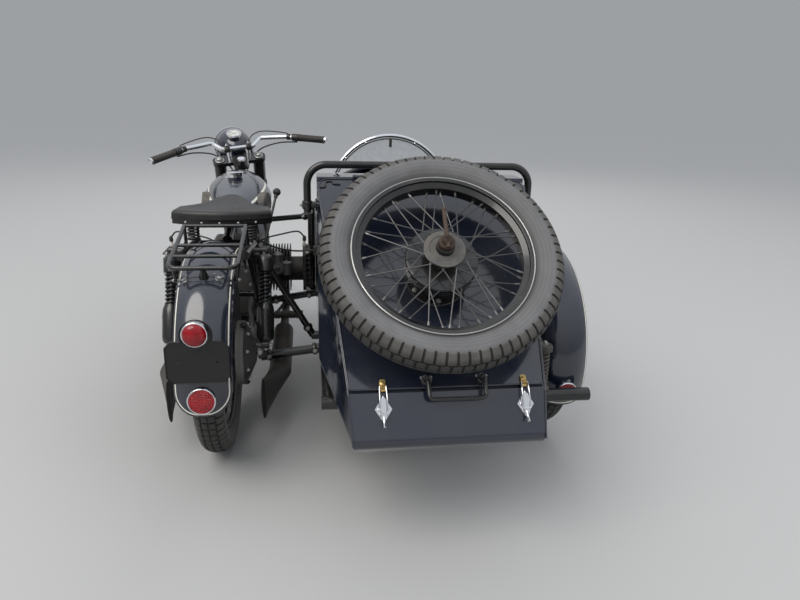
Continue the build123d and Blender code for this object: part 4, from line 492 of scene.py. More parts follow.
cup_profile = [
    (8, 1), (8, 13), (14, 24), (22, 29), (34, 31), (118, 31), (132, 29.5), (142, 26), (148, 23.6),
    (150, 20), (150, 1),
]
cover_profile = [(258, 1), (258, 22), (260, 29), (300, 30), (312, 28), (320, 22), (324, 12), (324, 1)]
eye_profile = [(-13, 8.5), (-13, 13), (-11, 14.5), (11, 14.5), (13, 13), (13, 8.5)]
shock_parts = []
for side in (-1, 1):
    low_eye, high_eye = np.array(((side * 160.0, 5, 365), (side * 160, 150, 672)))
    rise = unit(high_eye - low_eye)
    shock_parts += [
        lathe(cup_profile, low_eye, rise), lathe(cover_profile, low_eye, rise),
        hollow(eye_profile, [low_eye, high_eye], X),
        rods(low_eye + rise * 148, low_eye + rise * 262, 12, sides=16),
        rods(high_eye - rise * 30, high_eye - rise * 10, 13, sides=16),
        coil(low_eye + rise * 151, low_eye + rise * 258, 19.5, 7.5, 3.9),
    ]
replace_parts(piece("shock_absorber_coils", "root", {black: shock_parts}), "shock_absorbers")


# Fenders: pressed sheet in navy gloss with a rolled edge and painted cream lines, on both shoulders
# and round the tail of the rear one, on both shoulders of the front one, and on the right shoulder
# and rear edge of the sidecar's. Two wing bolts hold the rear one's hinged tail.
def ripple_group():
    """Soft ripple and fine peel of old stoved paint, as a height for the bump."""
    nodes, given, result = node_group("paint_ripple", {"Scale": "Float"}, {"Height": "Float"})
    place = nodes.place()
    broad = nodes.times(nodes.noise(place, given["Scale"], 2.0), 4.0)
    nodes.fill(result, {"Height": nodes.plus(broad, nodes.times(nodes.noise(place, 420.0, 2.0), 0.06))})
    return nodes.tree


ripple = ripple_group()


def gloss(name, colour, rough, dust, scale):
    """Stoved paint under a clear coat, slightly rippled so that reflections wander."""
    made = finish(name, colour, rough, dust=dust, scale=scale, coat=0.8)
    nodes, shader = inside(made)
    nodes.fill(shader, {"Normal": nodes.bump(nodes.group(ripple, {"Scale": 9.0})["Height"], 0.3, 0.0012)})
    return made


navy = gloss("navy_gloss", (0.0062, 0.0102, 0.0225), 0.13, 0.12, 5.0)
cream = finish("cream_line", (0.74, 0.71, 0.62), 0.3, dust=0.2, scale=22.0, coat=0.4)
dress(navy, "rear_fender", "front_fender", "sidecar_fender")


def ribbon(path, normals, section, loop=False):
    """A section of (across, out) carried along a path that lies on a surface with these normals."""
    path, section = np.asarray(path, float), np.asarray(section, float)
    normals = unit(np.broadcast_to(normals, path.shape))
    ahead = np.roll(path, -1, 0) - np.roll(path, 1, 0) if loop else np.gradient(path, axis=0)
    side = unit(np.cross(unit(ahead), normals))
    return skin(path[:, None] + side[:, None] * section[:, :1] + normals[:, None] * section[:, 1:], loop=loop)


def painted(width):
    """The section of a painted line, a hair thicker at its middle."""
    half = width / 2
    return [(-half, -0.3), (half, -0.3), (half, 0.25), (0, 0.45), (-half, 0.25)]


def bead(radius):
    """The section of a rolled edge or piping: two thirds of a circle."""
    turn = np.radians(np.arange(-50, 240, 29))
    return radius * points(np.cos(turn), 0.5 + np.sin(turn))


CROWN_RISE = 31  # how much higher a fender's crown is than its edges


def crown(fender, angle, x):
    """Points on a fender and their outward normals: the height over the wheel's axle falls with x
    along the circle through the crown and both shoulders, and the angle goes back from the top."""
    axle, radius, half = fender
    curve = (half**2 + CROWN_RISE**2) / (2 * CROWN_RISE)
    x = np.asarray(x, float)
    fall = np.sqrt(curve**2 - x**2)
    high = radius - curve + fall
    out = points(x / curve, -fall / curve * np.sin(angle), fall / curve * np.cos(angle))
    return axle + points(x, -high * np.sin(angle), high * np.cos(angle)), out


def edge_beads(axle, x, radius, first, last, count, size):
    """A fender's rolled edges, at x either side of its axle, from the first angle to the last."""
    turn = np.radians(np.linspace(first, last, count))
    inward = points(0, np.sin(turn), -np.cos(turn))
    return [ribbon(axle + side * x * X - radius * inward, inward, bead(size)) for side in (-1, 1)]


# Each fender: its wheel's axle, the radius of its crown and half its width.
REAR_FENDER = REAR_AXLE, 390, 84
SIDECAR_FENDER = SIDECAR_AXLE, 372, 76
FRONT_FENDER = STEER_POINT + OFFSET * STEER_AXES[1], 368, 66
# The rear line's plan from behind, (x, z): down one side, round the corners of the tail, and up.
line_x, tail_z, corner = 77.0, 304, 62
turn = np.linspace(0, np.pi / 2, 14)[1:-1]
drop = points(line_x, np.linspace(470, tail_z + corner, 12))
bend = (line_x - corner, tail_z + corner) + corner * points(np.cos(turn), -np.sin(turn))
base = points(np.linspace(line_x - corner, corner - line_x, 9), tail_z)
plan = np.vstack([drop, bend, base, (bend * (-1, 1))[::-1], (drop * (-1, 1))[::-1]])
high = crown(REAR_FENDER, 0, plan[:, 0])[0][:, 2] - AXLE_Z
angles = np.pi / 2 + np.arcsin((AXLE_Z - plan[:, 1]) / high)
run = np.linspace(math.radians(-40), angles[0], 70)[:-1]
angles = np.concatenate([run, angles, run[::-1]])
places = np.concatenate([np.full(69, line_x), plan[:, 0], np.full(69, -line_x)])
piece("rear_fender_line", "root", {cream: [ribbon(*crown(REAR_FENDER, angles, places), painted(4.2))]})
strap_section = [(-5, -0.4), (5, -0.4), (4.5, 1.2), (0, 1.7), (-4.5, 1.2)]
strap_angles = np.radians((30.5, 33.5))
strap_x = np.linspace(-84, 84, 41)
strap = [ribbon(*crown(REAR_FENDER, angle, strap_x), strap_section) for angle in strap_angles]
bases, normals = crown(REAR_FENDER, math.radians(32), (-56, 40))
wings = [lathe([(0, 1), (0, 8), (3, 8), (4, 5.5), (10, 5), (10, 1)], bases, normals, 20)]
for base, normal in zip(bases, normals):
    for across in unit(np.cross(normal, Y)) * EITHER:
        tip = base + normal * 15 + across * 13
        wings.append(rods(base + normal * 7 + across * 4, tip, 3.2, 2.6, 8))
        wings.append(lathe([(-1.6, 1), (-1.6, 4.5), (1.6, 4.5), (1.6, 1)], tip, np.cross(normal, across), 16))
piece(
    "rear_fender_seam", "root",
    {navy: edge_beads(REAR_AXLE, 83.2, 328.5, -41.5, 89, 110, 2.6) + strap, zinc: wings},
)
angles = np.radians(np.concatenate([np.linspace(-70, 108, 150), np.full(28, 109.4)]))
places = np.concatenate([np.full(150, 71.0), np.linspace(71, -71, 30)[2:]])
piece("sidecar_fender_line", "root", {cream: [ribbon(*crown(SIDECAR_FENDER, angles, places), painted(5.0))]})
piece(
    "sidecar_fender_edge", "root",
    {navy: edge_beads(SIDECAR_AXLE, 75.2, 310.5, -77.5, 110.5, 130, 2.4),
     zinc: bolts(*crown(SIDECAR_FENDER, np.radians([95.0, 98.2]), 6), 4.2, 4)},
)
piece("sidecar_fender_stays", "root", {zinc: bolts([(1093, -200, 434), (1093, 380, 434)], -X, 6, 5)})
front_line = ribbon(*crown(FRONT_FENDER, np.radians(np.linspace(-60, 90, 120)), 60.0), painted(4.0))
piece("front_fender_lines", "steering", {cream: both([front_line])}, place=STEERED)


# Number board: a flat pressed plate with a folded rim, in black enamel, left blank. It carries the
# tail lamp in a chromed ring, and round ribbed reflectors sit on both tails.
def lens_finish(name, colour, rough, transmission, alpha, ribs):
    """Moulded glass: tinted, glossy, and ribbed by a fine wave where it has ribs."""
    made = bpy.data.materials.new(name)
    nodes, shader = inside(made)
    place = nodes.place()
    cloud = nodes.noise(place, 60.0, 4.0)
    dark = (*(channel * 0.6 for channel in colour), 1)
    nodes.fill(shader, {
        "Base Color": nodes.mix(nodes.ramp(cloud, 0.35, 0.7), (*colour, 1), dark),
        "Roughness": nodes.ramp(cloud, 0.3, 0.8, rough, rough + 0.12),
        "Transmission Weight": transmission, "Alpha": alpha, "IOR": 1.49,
    })
    if ribs:
        waves = [nodes.add("TexWave", {"Vector": place, "Scale": ribs}, bands_direction=way) for way in "ZX"]
        nodes.fill(shader, {"Normal": nodes.bump(nodes.plus(*waves), 0.8, 0.0015)})
    return made


def domed(radius, height, rise):
    """The profile of a lens: a straight edge, then a quarter of an ellipse."""
    turn = np.linspace(0, np.pi / 2, 14)
    dome = points(height + rise * np.sin(turn), radius * np.cos(turn) + 0.3)
    return np.vstack([[(0, 0.6), (0, radius), (height, radius)], dome])


def sloped(degrees):
    """The way that a tail's face looks, by its slope from upright."""
    return -np.array((0, math.cos(math.radians(degrees)), math.sin(math.radians(degrees))))


chrome = finish("chrome_plate", (0.72, 0.73, 0.75), 0.1, metal=1.0, dust=0.16, scale=16.0, grain=0.03)
red_dome = lens_finish("red_dome", (0.3, 0.004, 0.01), 0.08, 0.15, 1.0, 0)
red_ribbed = lens_finish("red_ribbed", (0.38, 0.012, 0.018), 0.16, 0.1, 1.0, 62.0)
board_black = finish("board_black", (0.004, 0.004, 0.0045), 0.42, dust=0.05, scale=9.0)
dress(board_black, "number_board")
lobe = np.radians(np.linspace(-23, 203, 30))
rim = np.vstack([
    [(-71, 416), (71, 416), (89, 434), (89, 526), (71, 544), (42.6, 544)],
    (0, 562) + 46 * points(np.cos(lobe), np.sin(lobe)), [(-42.6, 544), (-71, 544), (-89, 526), (-89, 434)],
])
rim = rim + unit((0, 490) - rim) * 1.6
board_rim = ribbon(points(rim[:, 0], -412, rim[:, 1]), -Y, bead(1.5), loop=True)
piece("number_board_rim", "root", {board_black: [board_rim]})
tail_ring = [(0, 33.4), (0, 37), (17, 37), (20, 36.6), (21.5, 35), (21.5, 33.4)]
low_dome = domed(37.5, 7.5, 4.5)
low_ring = [(0, 37.6), (0, 42), (7, 42), (9, 41), (9.8, 39.6), (9, 37.6)]
tail_seat, low_out, side_out = (0.0, -411.3, 570), sloped(-1.5), sloped(11)
low_seat, side_seat = REAR_AXLE + low_out * 390.3, SIDECAR_AXLE + side_out * 372.3
lamps = piece(
    "tail_lamp_and_reflectors", "root",
    {red_dome: [lathe(domed(33, 20, 18), tail_seat, -Y, 48)],
     red_ribbed: [lathe(low_dome, low_seat, low_out, 48),
                  lathe(low_dome * (1, 33.5 / 37.5), side_seat, side_out, 48)],
     chrome: [hollow(tail_ring, tail_seat, -Y, 48), hollow(low_ring, low_seat, low_out, 48),
              hollow(np.array(low_ring) * (1, 38 / 42), side_seat, side_out, 48)]},
)
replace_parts(lamps, "rear_lamps")


# Luggage rack: a loop of thin black tube with cross bars, on two legs and a stem, with a small nut
# where each leg is bolted to the fender.
dress(black, "luggage_rack")
piece("rack_nuts", "root", {zinc: both(bolts((97, -159, 650), X, 5, 5) + bolts((112, 119, 700), X, 6, 5))})


# Saddle: thick black leather on a sprung frame, with a rolled edge, a short skirt held by bright
# rivets, a dished middle and a raised nose. It is one closed skin through scaled outlines.
def arc(a, b, c, count):
    """Points on the circle through a, b and c: centre from the two bisectors, then (cos t, sin t)."""
    a, b, c = np.array((a, b, c), float)
    side = np.array([b - a, c - a])
    centre = a + np.linalg.solve(2 * side, (side**2).sum(1))
    start, middle, end = (math.atan2(*(point - centre)[::-1]) for point in (a, b, c))
    middle, end = (middle - start) % (2 * math.pi), (end - start) % (2 * math.pi)
    turn = start + np.linspace(0, end if middle < end else end - 2 * math.pi, count)
    return centre + np.linalg.norm(a - centre) * points(np.cos(turn), np.sin(turn))


def grained(name, colour, rough, dust, cell, depth):
    """Leather or moulded rubber: rounded cells pressed into a dull surface, dusty in the hollows."""
    made = finish(name, colour, rough, dust=dust, scale=9.0)
    nodes, shader = inside(made)
    place = nodes.place()
    cells = nodes.add("TexVoronoi", {"Vector": place, "Scale": cell}, feature="SMOOTH_F1")
    creases = nodes.times(nodes.noise(place, cell / 14, 5.0, Distortion=1.2), 2.0)
    nodes.fill(shader, {"Normal": nodes.bump(nodes.plus(cells, creases), depth, 0.0012)})
    return made


leather = grained("saddle_leather", (0.006, 0.006, 0.0065), 0.33, 0.14, 620.0, 0.35)
right_half = np.vstack([
    arc((0, 235), (94, 248.6), (182, 285), 30)[:-1],
    np.linspace((182, 285), (174, 365), 10)[:-1],
    arc((174, 365), (98, 450), (55, 564), 26)[:-1],
    arc((55, 564), (30, 585), (0, 594), 12),
])
seat_line = np.vstack([right_half, (right_half * (-1, 1))[-2:0:-1]])
levels = np.array([
    # share of the outline, height
    (0.02, 744), (0.6, 744), (0.95, 743.5), (0.985, 742.8), (0.992, 744), (0.99, 757), (0.993, 760),
    (1.003, 761.5), (1.004, 765), (0.998, 770), (0.997, 777), (0.99, 784), (0.972, 789.5), (0.945, 792.5),
    (0.91, 793.5), (0.85, 792.5), (0.78, 790.5), (0.68, 788), (0.55, 785.5), (0.4, 783.8), (0.22, 783),
    (0.02, 782.8),
])
share, height = levels[:, :1], levels[:, 1:]
heart = np.array((0, 395.0))
spots = heart + (seat_line - heart) * share[:, None]
nose_lift = np.clip((spots[..., 1] - 430) / 160, 0, 1) ** 1.5 * 9 * np.clip(height - 770, 0, 20) / 20
seat_rows = points(spots[..., 0], spots[..., 1], height + nose_lift)
rivet_x = np.array([-128.0, -68, -4, 62, 124])
rivet_y = np.interp(np.abs(rivet_x), seat_line[:30, 0], seat_line[:30, 1])
head = [(0, 0.5), (0, 5), (1.4, 4.6), (2.6, 3), (3, 0.5)]
rivets = lathe(head, points(rivet_x, rivet_y + 0.6, 752), -Y, 14)
saddle_top = piece("saddle_leather", "root", {leather: [skin(seat_rows)], zinc: [rivets]}, sharp=50)
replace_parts(saddle_top, "saddle")


# Saddle springs: two barrel springs of round wire between pressed cups at the back, and the bolt that
# the nose turns on.
cup = [(0, 1), (0, 23), (1.5, 24), (4, 24), (4, 21), (2.5, 20), (2.5, 1)]
spring_parts = [lathe([(0, 1), (0, 10), (31, 10), (31, 1)], (0, 554, 710.7), Z, 20)]
for foot in ((-105, 275, 685.2), (105, 275, 685.2)):
    spring_parts += [
        coil(foot + 4 * Z, foot + 52.8 * Z, 18.5, 4.5, 4.2), lathe(cup, foot, Z, 24),
        lathe(cup, foot + 56.4 * Z, -Z, 24), rods(foot, foot + 55.8 * Z, 4),
    ]
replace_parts(piece("saddle_coils", "root", {blackened: spring_parts}), "saddle_springs")


# Fuel tank: pressed steel in navy gloss, with a cream line along each shoulder, a chromed filler cap
# and screws at its front end. The knee pads are moulded rubber, ribbed and grey with dust.
def onto(node, starts, toward):
    """Where rays from these points meet a CAD node, and the normals there: what sits on it is laid so."""
    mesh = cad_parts[node].data
    flat = np.empty(len(mesh.vertices) * 3)
    mesh.vertices.foreach_get("co", flat)
    corners = (flat.reshape(-1, 3) * 1000 - ORIGIN).tolist()
    tree = BVHTree.FromPolygons(corners, [list(face.vertices) for face in mesh.polygons])
    starts, toward = np.broadcast_arrays(np.asarray(starts, float), unit(toward))
    hits = [tree.ray_cast(Vector(a), Vector(b))[:2] for a, b in zip(starts, toward)]
    found = np.array([(tuple(spot), tuple(normal)) for spot, normal in hits if spot is not None])
    facing = (found[:, 1] * toward[: len(found)]).sum(1, keepdims=True)
    return found[:, 0], found[:, 1] * np.sign(-facing)


def smooth(values, passes=4):
    """Evens out a row of vectors by averaging each with its neighbours."""
    for _ in range(passes):
        values = np.vstack([values[:1], (values[:-2] + 2 * values[1:-1] + values[2:]) / 4, values[-1:]])
    return values


dress(navy, "fuel_tank")
tank_y = np.linspace(622, 1022, 70)
stations = (600, 730, 890, 1035)
middle_z, high_z = (np.interp(tank_y, stations, row) for row in ((750, 750, 761, 789), (800, 832, 862, 858)))
line_z = middle_z + (high_z - middle_z) * 0.34
tank_lines = []
for side in (-1, 1):
    spots, out = onto("fuel_tank", points(side * 260, tank_y, line_z + 60), (-side, 0, -0.36))
    tank_lines.append(ribbon(smooth(spots), smooth(out), painted(10.0)))
piece("tank_lines", "root", {cream: tank_lines})
cap_profile = [(-20, 32.8), (-20, 35), (-3, 35.6), (-1, 37), (2.5, 37), (4.5, 35), (6, 26), (7, 12), (7, 1)]
spots, out = onto("fuel_tank", [(-54, 950, 1000), (-30, 1010, 1000), (30, 1010, 1000)], -Z)
piece(
    "tank_fittings", "root",
    {chrome: [lathe(cap_profile, (0, 790, 872), Z, 36)], zinc: [lathe(head, spots - out * 0.3, out, 12)]},
)
pad_rubber = finish("pad_rubber", (0.03, 0.03, 0.031), 0.62, dust=0.75, scale=14.0, grain=0.3, size=500.0)
pad_levels = np.array([
    # share of the oval, height
    (1.0, -14), (1.0, 14), (0.985, 19), (0.95, 22.5), (0.9, 24), (0.86, 22.6), (0.8, 22.8), (0.76, 24.2),
    (0.7, 24.4), (0.66, 22.8), (0.6, 22.8), (0.56, 24.2), (0.5, 24.4), (0.46, 22.8), (0.4, 22.8),
    (0.36, 24.2), (0.3, 24.2), (0.26, 22.8), (0.02, 22.8),
])
out = unit((1, -0.12, 0.1))
along = unit(Y - out * out[1])
oval = ring(72, along * 88, np.cross(out, along) * 46)
pad = skin((118, 745, 745) + oval * pad_levels[:, :1, None] + out * pad_levels[:, 1:, None])
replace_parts(piece("knee_pads_ribbed", "root", {pad_rubber: both([pad])}), "knee_pads")


# Engine and gearbox: dull aluminium castings, bolted round the timing cover and the gearbox's end,
# with finned cylinders in black heat paint, a plug and its lead on each, and two carburettors.
def hose(route, radius, sides=10, steps=10):
    """A round line through points: a Catmull-Rom curve with a circle carried along it."""
    route = np.asarray(route, float)
    longer = np.vstack([2 * route[0] - route[1], route, 2 * route[-1] - route[-2]])
    share = np.linspace(0, len(route) - 1, steps * (len(route) - 1) + 1)
    at = np.minimum(share.astype(int), len(route) - 2)
    u = (share - at)[:, None]
    a, b, c, d = (longer[at + k] for k in range(4))
    path = 0.5 * (2 * b + (c - a) * u + (2 * a - 5 * b + 4 * c - d) * u**2 + (3 * b - a - 3 * c + d) * u**3)
    ahead = unit(np.gradient(path, axis=0))
    lowest = np.eye(3)[np.abs(ahead).max(0).argmin()]
    return ribbon(path, np.cross(ahead, lowest), ring(sides, (radius, 0), (0, radius)))


iron = finish(
    "heat_black_iron", (0.016, 0.016, 0.0165), 0.55, metal=0.3, dust=0.5, scale=16.0, grain=0.5, size=380.0)
porcelain = finish("plug_porcelain", (0.55, 0.53, 0.48), 0.25, dust=0.3, scale=30.0)
rubber = grained("black_rubber", (0.012, 0.012, 0.012), 0.55, 0.35, 420.0, 0.2)
dress(alloy, "engine_case", "carburettors")
dress(iron, "cylinders")
cover_bolts = (0, 973.8, 450) + ring(8, 78 * X, 78 * Z, 22)
box_bolts = [
    (x, 448.2, z) for x, z in (
        (-70, 337), (0, 332), (70, 337), (-77, 395), (77, 395), (-77, 455), (77, 455), (-62, 512), (62, 512))
]
head_nuts = [(302, 800 + dy, 438 + dz) for dy in (-78, 78) for dz in (-84, 84)]
plug, plug_cap = np.array((295.0, 800, 536)), [(26, 3), (26, 8.5), (42, 8.5), (47, 6), (50, 3)]
lead_route = [plug + 46 * Z, plug + (-30, -12, 72), (190, 760, 600), (130, 735, 590), (92, 725, 574.5)]
bell = [(0, 19), (0, 21.5), (3, 21.5), (5, 19), (6, 8), (10, 7), (12, 5), (12, 1)]
choke = [(0, 19), (0, 22.5), (5, 22.5), (8, 18), (14, 12), (15, 4)]
cleaner = [
    (-38, 61.5), (-38, 64), (-35, 65), (-33, 63.4), (-6, 63.4), (-4, 65.5), (0, 65.5), (3, 62), (5, 40),
    (7, 14), (7, 1),
]
piece(
    "engine_fittings", "root",
    {zinc: bolts(cover_bolts, Y, 6, 7) + bolts(box_bolts, -Y, 6, 7) + both(bolts(head_nuts, X, 7, 9))
     + [lathe([(0, 1), (0, 9), (12, 9), (14, 6), (14, 1)], (0, 590, 618), Z, 16)],
     alloy: both([
         lathe(bell, (218, 650, 494.2), Z, 24), lathe(choke, (180, 650, 530.2), Z, 24),
         lathe([(0, 23), (0, 25.6), (8, 25.6), (8, 23)], (180, 676, 478), -Y, 24),
     ]),
     iron: [lathe(cleaner, (0, 590, 611.2), Z, 40)],
     porcelain: both([lathe([(-6, 6), (0, 9), (10, 9), (12, 6), (30, 4.6), (34, 3)], plug, Z, 16)]),
     rubber: both([hose(lead_route, 3.6), lathe(plug_cap, plug, (0.05, 0, 1), 16)])},
)


# Exhausts: steel pipes and silencers in dull black with a clamp at each joint, ending in flat
# fishtails with a rolled lip round a slot, closed by a near-black plug: soot and painted shade.
burnt = finish(
    "burnt_black_steel", (0.018, 0.0165, 0.0155), 0.48, metal=0.4, dust=0.55, scale=13.0, grain=0.35,
    size=300.0)
# Near-black plug material: soot, and painted shade standing in for the dark hollow of the pipe.
soot_and_shade = finish("soot_and_shade", (0.004, 0.004, 0.004), 0.9, dust=0.0, grain=0.4, size=240.0)
dress(burnt, "exhausts")
clamp = [(-9, 21.4), (-9, 24), (-7.5, 25), (7.5, 25), (9, 24), (9, 21.4)]
collar = [(0, 19.2), (0, 30), (3, 32), (12, 32), (15, 29), (15, 19.2)]
facing = ring(56, X / 8, Z / 75) - 0.05 * Y
lip = ribbon((156, -109.8, 212) + ring(56, 8 * X, 75 * Z), facing, bead(1.7) - (0, 0.8), loop=True)
slot = ring(56, 5.6 * X, 71 * Z)
# The mouth is a flat plug just inside the lip, painted near-black as soot and as the shade inside the pipe.
mouth = skin((156, -110.4, 212) + np.stack([slot + 0.3 * Y, slot, slot * 0.02]))
pipe_nuts = bolts((226, 634, 200), -X, 5, 6) + bolts([(218, 904, 490), (182, 904, 442)], Y, 6, 7)
piece(
    "exhaust_fittings", "root",
    {burnt: both([lip, hollow(clamp, (200, 634, 200), Y, 32), hollow(collar, (200, 888.5, 466), Y, 32)]),
     soot_and_shade: both([mouth]), zinc: both(pipe_nuts)},
)


# Controls by the gearbox: ribbed rubber footrests, the long hand lever of the gears with its black
# ball on the right, the brake pedal below it, and the kick lever on the left.
def ball(centre, radius):
    """A sphere as a turned profile, R (sin t, cos t)."""
    half = np.linspace(0.03 - math.pi / 2, math.pi / 2 - 0.03, 22)
    return lathe(radius * points(np.sin(half), np.cos(half)), centre, Z, 32)


def ribbed(first, rib, count, pitch, last):
    """A turned profile between its two ends, with one rib's points repeated at an even pitch."""
    return first + [(k * pitch + along, radius) for k in range(count) for along, radius in rib] + last


peg_ribs = ribbed(
    [(0, 10)], [(1, 14.6), (3, 17), (9, 17), (11, 14.6)], 9, 12.6, [(116, 18.5), (119.4, 18), (119.7, 8)])
kick_ribs = ribbed(
    [(0, 6), (0, 12), (2, 12.6)], [(4, 12.6), (5.5, 10.8), (8.5, 10.8), (10, 12.6)], 7, 8.6,
    [(72, 12.6), (73.8, 10), (73.8, 2)])
lever_foot, lever_ball = np.array(((106, 520, 500.0), (183, 700, 800)))
kick_foot, kick_end = np.array(((-112, 480, 400.0), (-146, 430, 560)))
lever_way, pedal = unit(lever_ball - lever_foot), (227, 664, 302)
controls = piece(
    "foot_controls_rubbered", "root",
    {rubber: both([lathe(peg_ribs, (167.3, 470, 315), X, 28)]) + [
         lathe(kick_ribs, kick_end + 8 * X, -X, 24), ball(lever_ball, 17),
         lathe([(6, 1), (6, 19), (8, 18), (8.4, 12), (7.4, 11), (8.6, 10), (8.4, 1)], pedal, Z, 36)],
     blackened: [
         rods((98.3, 520, 500), (114, 520, 500), 16, sides=24), rods(lever_foot, lever_ball, 7, 5, 14),
         lathe([(0, 6), (0, 8.5), (10, 8.5), (12, 5.6)], lever_ball - lever_way * 26, lever_way, 16),
         rods((-98.3, 480, 400), (-121, 480, 400), 15, sides=24), rods(kick_foot, kick_end, 9, 8, 14),
         rods((131.3, 600, 240), (150, 600, 240), 13, sides=24),
         rods((141, 600, 240), (200, 664, 301), 7, sides=12),
         lathe([(-6, 1), (-6, 20), (-5, 21.5), (4, 21.5), (6, 19), (6, 1)], pedal, Z, 36)],
     zinc: bolts([(114, 520, 500), (-121, 480, 400)], [X, -X], 8, 7)},
)
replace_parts(controls, "foot_controls")


# Fork: enamelled legs between two yokes, with a capped nut over each leg and over the stem, a rubber
# gaiter where each leg slides and the axle's nuts below.
at_head = laid(STEER_POINT, STEER_AXES)  # x, distance ahead of the steering line, height along it
dress(black, "fork")
gaiter = ribbed([(0, 24.3)], [(1.5, 26.5), (4.5, 29.6), (7.5, 26.5)], 5, 9, [(47, 24.3)])
leg_cap = [(0, 1), (0, 23), (3, 24), (5, 22), (5, 15), (14, 15), (16, 13), (18, 4), (18, 1)]
stem_cap = [(0, 1), (0, 19), (4, 20), (9, 17), (12, 8), (13, 1)]
axle_nut = bolts(at_head((125.2, OFFSET, 0)), X, 13, 9)
yoke_nut = bolts(at_head((115, OFFSET, 470)), X, 6, 6)
piece(
    "fork_fittings", "steering",
    {zinc: both([lathe(leg_cap, at_head((95, OFFSET, 628.2)), STEER_AXIS, 24)] + axle_nut + yoke_nut),
     chrome: [lathe(stem_cap, at_head((0, 0, 660.2)), STEER_AXIS, 24)],
     rubber: both([lathe(gaiter, at_head((95, OFFSET, 277)), STEER_AXIS, 28)])},
    place=STEERED,
)


# Handlebar: one bent and chromed tube clamped on two risers, with ribbed rubber grips, a lever pivoted
# before each, dip switch and throttle housings, and cables that run to the lamp and the yoke.
dress(chrome, "handlebar")
grip_ribs = ribbed(
    [(0, 11.4), (0, 17.5), (2.5, 18.2), (5, 17.5)], [(6, 16.2), (7.4, 17), (9.6, 17)], 23, 5,
    [(122, 16.2), (124, 18.4), (127, 18.4), (128.8, 15), (128.8, 11.4)])
end_cap = [(0, 11), (0, 16.5), (2, 17.2), (9, 15.6), (12, 11), (13, 2)]
drum = [(-20, 11.4), (-20, 16), (-18, 18), (14, 18), (17, 16), (17, 11.4)]
pivot_band = [(-9, 11.3), (-9, 14.5), (9, 14.5), (9, 11.3)]
riser_band = [(-13, 12), (-13, 17), (-10, 18.4), (10, 18.4), (13, 17), (13, 12)]
tip, bend = np.array(((402.0, 1022, 949), (248, 1130, 976)))
away, forward = unit(tip - bend), np.array((0.45, 0.89, 0))
pivot, housing = bend + away * 6, bend + away * 44
knuckle = pivot + forward * 41
brake_cable = [
    knuckle, knuckle + forward * 34 - away * 42 + 10 * Z, (150, 1240, 1010), (96, 1236, 1000),
    (62, 1216, 972)]
yoke_cable = [
    housing + (0, 10, -22), bend + (-40, 34, -26), (118, 1190, 930), (60, 1205, 880), (30, 1180, 830)]
bar_chrome = [
    lathe(end_cap, tip + away * 3.8, away, 24), ball(knuckle + forward * 6 + away * 152, 7),
    lathe([(38, 1), (38, 5), (46, 5), (46, 1)], pivot - 4 * Z, forward, 12)]
bar_black = [
    hollow(drum, housing, away), hollow(pivot_band, pivot, away), hollow(riser_band, (52, 1150, 950), X),
    hose([housing, housing + (0, 8, -14), housing + (0, 10, -24)], 7, 12)]
piece(
    "handlebar_fittings", "steering",
    {chrome: both(bar_chrome + bolts([(52, 1139, 967), (52, 1161, 967)], Z, 5, 6)),
     blackened: both(bar_black), rubber: both([hose(brake_cable, 2.8), hose(yoke_cable, 3.4)])},
    place=STEERED,
)
grip = hollow(grip_ribs, tip - away * 125, away, 28)
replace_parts(piece("grips_ribbed", "steering", {rubber: both([grip])}, place=STEERED), "grips")


# Headlamp: a deep navy shell with a chromed rim round a fluted glass. The speedometer in its top has
# a chromed bezel and a plain pale dial with short marks and one needle.
dress(navy, "headlamp")
clear = lens_finish("clear_fluted_glass", (0.9, 0.93, 0.95), 0.06, 0.75, 1.0, 46.0)
dial_glass = lens_finish("dial_glass", (0.95, 0.97, 0.98), 0.03, 0.9, 0.35, 0)
dial_face = finish("pale_dial", (0.62, 0.6, 0.53), 0.5, dust=0.1, scale=30.0)
dress(clear, "headlamp_lens")
lamp_rim = [
    (72, 88.6), (72, 93), (76, 94.6), (86, 94.6), (91, 92.5), (94, 88.5), (94.4, 85), (92, 84.6), (89, 87),
    (88.4, 88.4),
]
bezel = [(-5, 33.2), (-5, 36), (-2, 37), (3, 37), (6, 35), (6.6, 31.5), (5, 30.8), (1, 31), (0.3, 33)]
dial_seat, dial_out = np.array((0, 1219.0, 1014)), unit((0, -18, 36))
dial_up = unit(np.cross(X, dial_out))
mark_turn = np.radians(np.linspace(-130, 130, 14))[:, None]
marks = np.cos(mark_turn) * dial_up + np.sin(mark_turn) * X
needle = math.cos(-2) * dial_up + math.sin(-2) * X
face = dial_seat + dial_out * 1.6
above = face + dial_out * 0.48
piece(
    "headlamp_rim", "steering",
    {chrome: [hollow(lamp_rim, (0, 1285, 948), Y, 64), hollow(bezel, dial_seat, dial_out, 48)],
     dial_face: [lathe([(0.2, 1), (0.2, 31.4), (1, 31.4), (1, 1)], dial_seat, dial_out, 48)],
     blackened: [rods(face + marks * 24, face + marks * 28.5, 0.8, sides=6),
                 rods(above - needle * 6, above + needle * 22, 1.1, 0.4, 6),
                 lathe([(0, 1), (0, 3), (1.4, 2.6), (1.4, 1)], face, dial_out, 14)],
     zinc: both(bolts((89, 1285, 932), X, 6, 6))},
    place=STEERED,
)
dial_pane = lathe([(4, 1), (4, 31), (5, 31), (5.6, 20), (5.8, 1)], dial_seat, dial_out, 40)
piece("dial_glass", "steering", {dial_glass: [dial_pane]}, place=STEERED)


